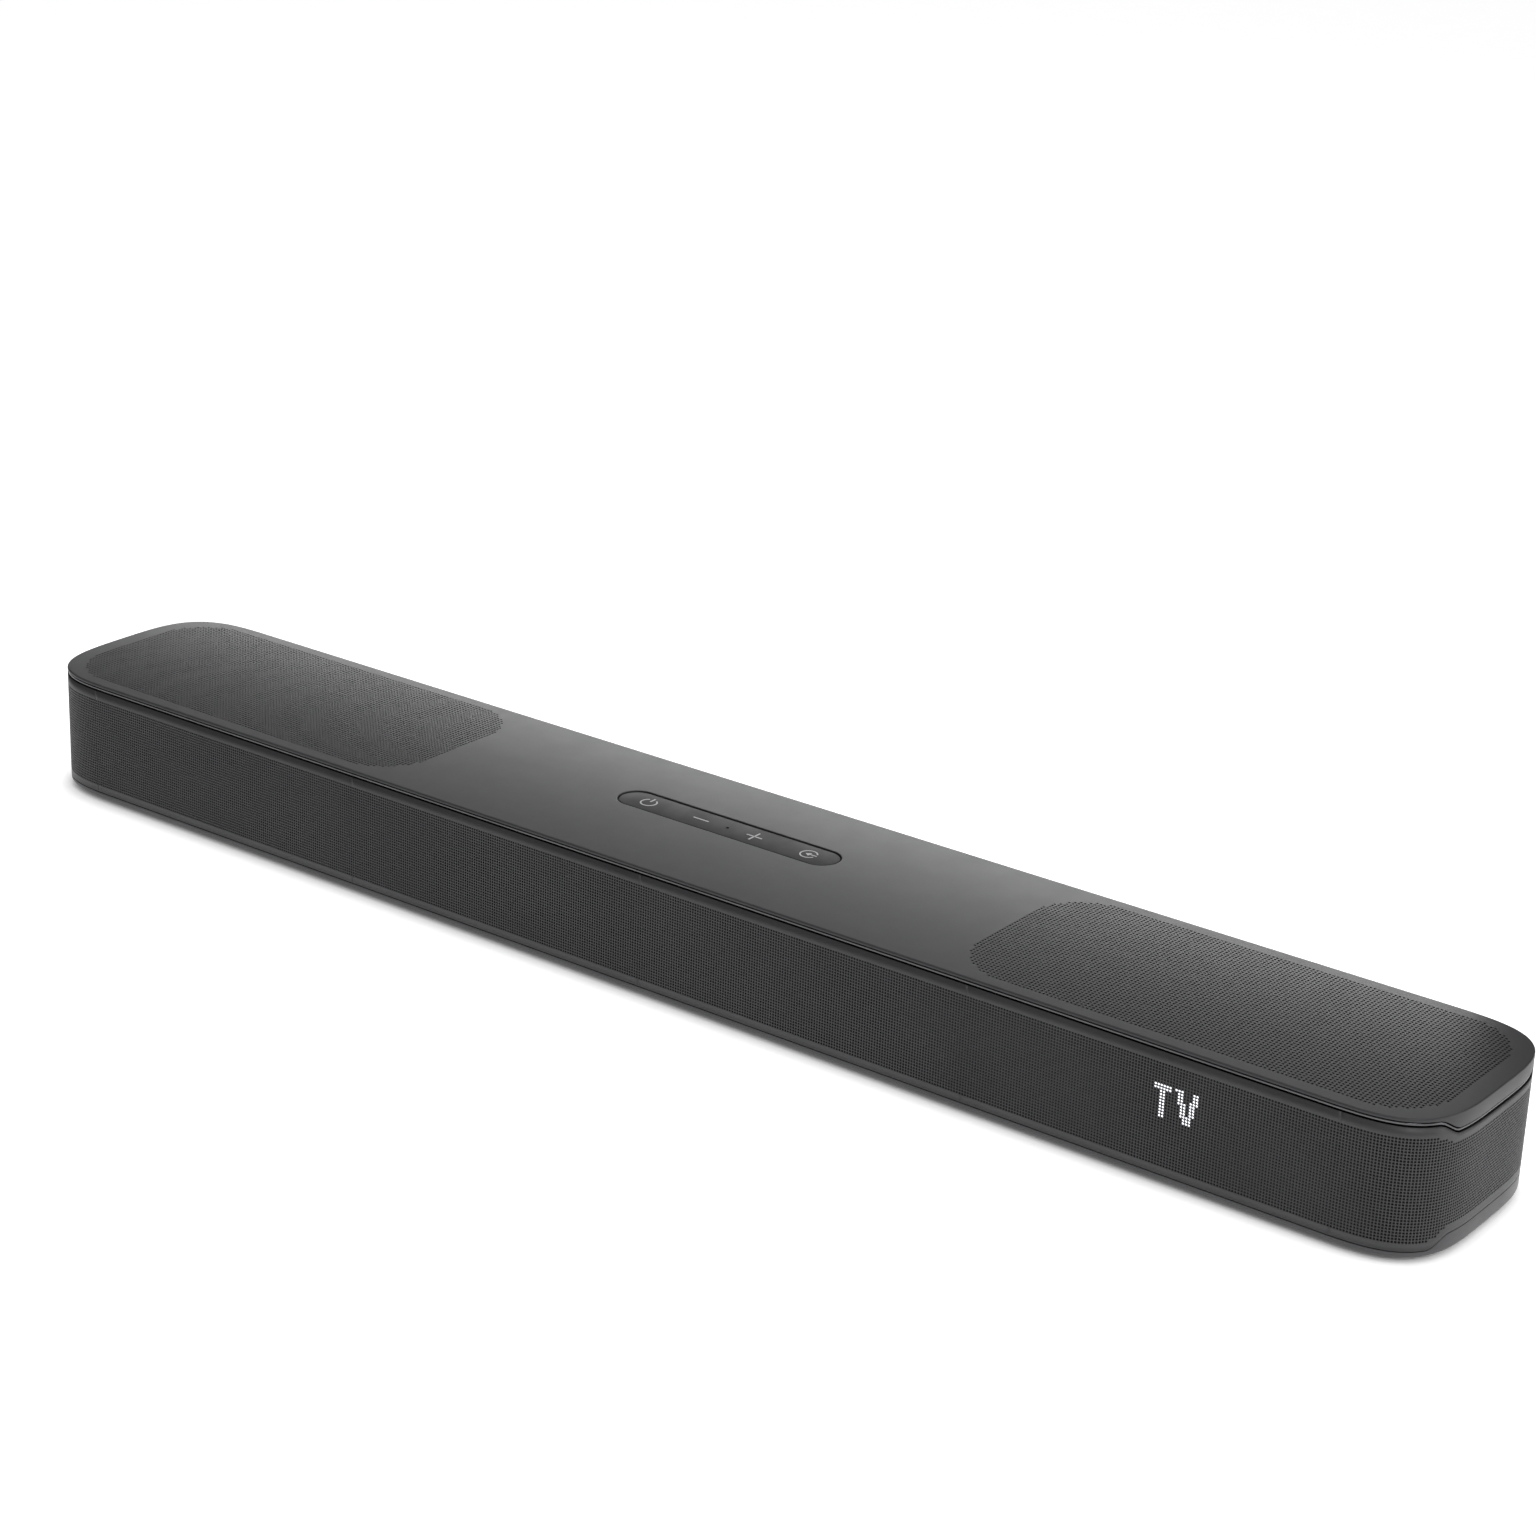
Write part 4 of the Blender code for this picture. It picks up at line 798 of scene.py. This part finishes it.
# The rolled edge and the side band under it.
mesh = bmesh.new()
edge_loops = []
for step in range(5):
    turn = math.radians(22.5 * step)
    loop = ring(EDGE_ROUND * (1 - math.sin(turn)), 0.0)
    for corner, inner in zip(loop, ring(EDGE_ROUND, 0.0)):
        corner.z = crowned(inner.y) - EDGE_ROUND * (1 - math.cos(turn))
    edge_loops.append(loop)
loft(mesh, edge_loops + [
    ring(0.0, 56.5 * MM, 51.9 * MM),
    ring(0.04 * MM, 56.36 * MM, 51.76 * MM),
    ring(0.15 * MM, 56.3 * MM, 51.7 * MM),
    ring(1.6 * MM, 56.3 * MM, 51.7 * MM),
    ring(1.6 * MM, 56.9 * MM),
], closed=True)
side_band = piece("cover_side_band", mesh, satin_cover)
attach(side_band, "housing")

# The rounded wall of the key recess.
mesh = bmesh.new()
mouth_loops = []
for step in range(5):
    turn = math.radians(22.5 * step)
    mouth_loops.append(mouth_ring(MOUTH_ROUND * (1 - math.sin(turn)), MOUTH_ROUND * (1 - math.cos(turn))))
loft(mesh, mouth_loops + [
    mouth_ring(0.0, 1.7 * MM),
    mouth_ring(MOUTH_ROUND + 0.4 * MM, 1.7 * MM),
    mouth_ring(MOUTH_ROUND + 0.4 * MM, 0.3 * MM),
], closed=True)
recess_wall = piece("cover_recess_wall", mesh, satin_cover)
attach(recess_wall, "housing")

# ---------------------------------------------------------------- Keys and key strip
# One soft skin lies in the cover's recess over four rigid keys. It is built as two halves for each key, cut
# across where the real skin bends as a key is pressed.
# The signs are printed on it in pale ink, and a microphone listens through a small hole in its middle.
SKIN_BOTTOM, SKIN_TOP = (corner[2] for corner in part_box("keypad_skin"))
SKIN_ROUND = 0.9 * MM
SKIN_GAP = 0.35 * MM
KEY_PITCH = 27.9 * MM
KEY_HALF = 10.0 * MM
KEYS = ("power_key", "volume_down_key", "volume_up_key", "source_key")
dress(inner_plastic, "key_seat", *KEYS)
key_skin = moulded("key_skin", (0.013, 0.013, 0.014), (0.016, 0.016, 0.017), 0.46, 0.54, 0.3 * MM, 0.01 * MM)
key_skin.node_tree.nodes["Principled BSDF"].inputs["Specular IOR Level"].default_value = 0.2
skin_profile = [(SKIN_GAP, SKIN_BOTTOM)]
for step in range(6):
    turn = math.radians(18 * step)
    inset = SKIN_GAP + SKIN_ROUND * (1 - math.cos(turn))
    skin_profile.append((inset, SKIN_TOP - SKIN_ROUND * (1 - math.sin(turn))))
for number, key in enumerate(KEYS):
    middle = (number - 1.5) * KEY_PITCH
    for side, name in ((-1, "left"), (1, "right")):
        mesh = bmesh.new()
        skin_loops = []
        for shrink, z in skin_profile:
            radius = STRIP_RADIUS - shrink
            loop = []
            for step in range(64):
                turn = 2 * math.pi * (step + 0.5) / 64
                straight = math.copysign(STRIP_HALF - STRIP_RADIUS, math.cos(turn))
                x = straight + radius * math.cos(turn)
                loop.append(Vector((x, STRIP_Y + radius * math.sin(turn), z)))
            skin_loops.append(loop)
        loft(mesh, skin_loops)
        outer_end = abs(middle + side * KEY_PITCH / 2) > 1.9 * KEY_PITCH
        outer = middle + side * (STRIP_HALF if outer_end else KEY_PITCH / 2)
        for x, clear in ((min(middle, outer), "clear_inner"), (max(middle, outer), "clear_outer")):
            whole = mesh.verts[:] + mesh.edges[:] + mesh.faces[:]
            bmesh.ops.bisect_plane(mesh, geom=whole, plane_co=(x, 0, 0), plane_no=(1, 0, 0), **{clear: True})
            bmesh.ops.holes_fill(mesh, edges=[edge for edge in mesh.edges if edge.is_boundary])
        bend_start = middle + side * KEY_PITCH / 2
        bend_end = middle + side * KEY_HALF
        for share in (0.0, 0.2, 0.4, 0.6, 0.8, 1.0):
            whole = mesh.verts[:] + mesh.edges[:] + mesh.faces[:]
            x = bend_end + (bend_start - bend_end) * share
            bmesh.ops.bisect_plane(mesh, geom=whole, plane_co=(x, 0, 0), plane_no=(1, 0, 0))
        skin = piece(f"{key}_skin_{name}", mesh, key_skin)
        if abs(bend_start) < 0.1 * MM:
            mesh = bmesh.new()
            capsule(mesh, (0.0, STRIP_Y), 0.0, 0.7 * MM, SKIN_BOTTOM - MM, SKIN_TOP + MM, 10)
            cut(skin, mesh)
            skin.data.set_sharp_from_angle(angle=math.radians(35))
        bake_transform(skin)
        if number == 0 and side < 0:
            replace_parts(skin, "keypad_skin")

INK_LOW = SKIN_TOP - 0.02 * MM
INK_HIGH = SKIN_TOP + 0.03 * MM
pale_ink = moulded("pale_ink", (0.42, 0.42, 0.43), (0.5, 0.5, 0.51), 0.5, 0.65, 0.3 * MM, 0.006 * MM)


def ink_bar(mesh, x_low, x_high, y_low, y_high):
    """A straight printed bar, in millimetres from the middle of its key."""
    corners = bmesh.ops.create_cube(mesh, size=1.0)["verts"]
    for corner in corners:
        corner.co.x = (x_high if corner.co.x > 0 else x_low) * MM
        corner.co.y = (y_high if corner.co.y > 0 else y_low) * MM
        corner.co.z = INK_HIGH if corner.co.z > 0 else INK_LOW


def ink_arc(mesh, radius, width, gap_middle, gap):
    """A printed ring with a gap, its angles in degrees."""
    start = math.radians(gap_middle + gap / 2)
    painted_shadow_occlusion, far = radius - width / 2, radius + width / 2
    places = ((painted_shadow_occlusion, INK_LOW), (far, INK_LOW), (far, INK_HIGH), (painted_shadow_occlusion, INK_HIGH))
    profile = [mesh.verts.new((r * MM * math.cos(start), r * MM * math.sin(start), z)) for r, z in places]
    cap = mesh.faces.new(profile)
    bmesh.ops.spin(
        mesh, geom=[cap], cent=(0, 0, 0), axis=(0, 0, 1), dvec=(0, 0, 0),
        angle=math.radians(360 - gap), steps=36, use_duplicate=False,
    )


for number, key in enumerate(KEYS):
    mesh = bmesh.new()
    if key == "power_key":
        ink_arc(mesh, 3.5, 0.62, 90, 62)
        ink_bar(mesh, -0.34, 0.34, 0.9, 4.5)
    elif key == "volume_down_key":
        ink_bar(mesh, -4.0, 4.0, -0.36, 0.36)
    elif key == "volume_up_key":
        ink_bar(mesh, -3.9, 3.9, -0.36, 0.36)
        ink_bar(mesh, -0.36, 0.36, -4.0, 4.0)
    else:
        ink_arc(mesh, 3.6, 0.62, 0, 48)
        ink_bar(mesh, 0.4, 4.0, -0.32, 0.32)
        head = [mesh.verts.new((x * MM, y * MM, INK_LOW)) for x, y in ((-1.6, 0.0), (0.7, -1.5), (0.7, 1.5))]
        tip = bmesh.ops.extrude_face_region(mesh, geom=[mesh.faces.new(head)])["geom"]
        raised = [item for item in tip if isinstance(item, bmesh.types.BMVert)]
        bmesh.ops.translate(mesh, verts=raised, vec=(0, 0, INK_HIGH - INK_LOW))
    bmesh.ops.translate(mesh, verts=mesh.verts[:], vec=((number - 1.5) * KEY_PITCH, STRIP_Y, 0))
    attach(piece(f"{key}_sign", mesh, pale_ink, smooth=0), key)
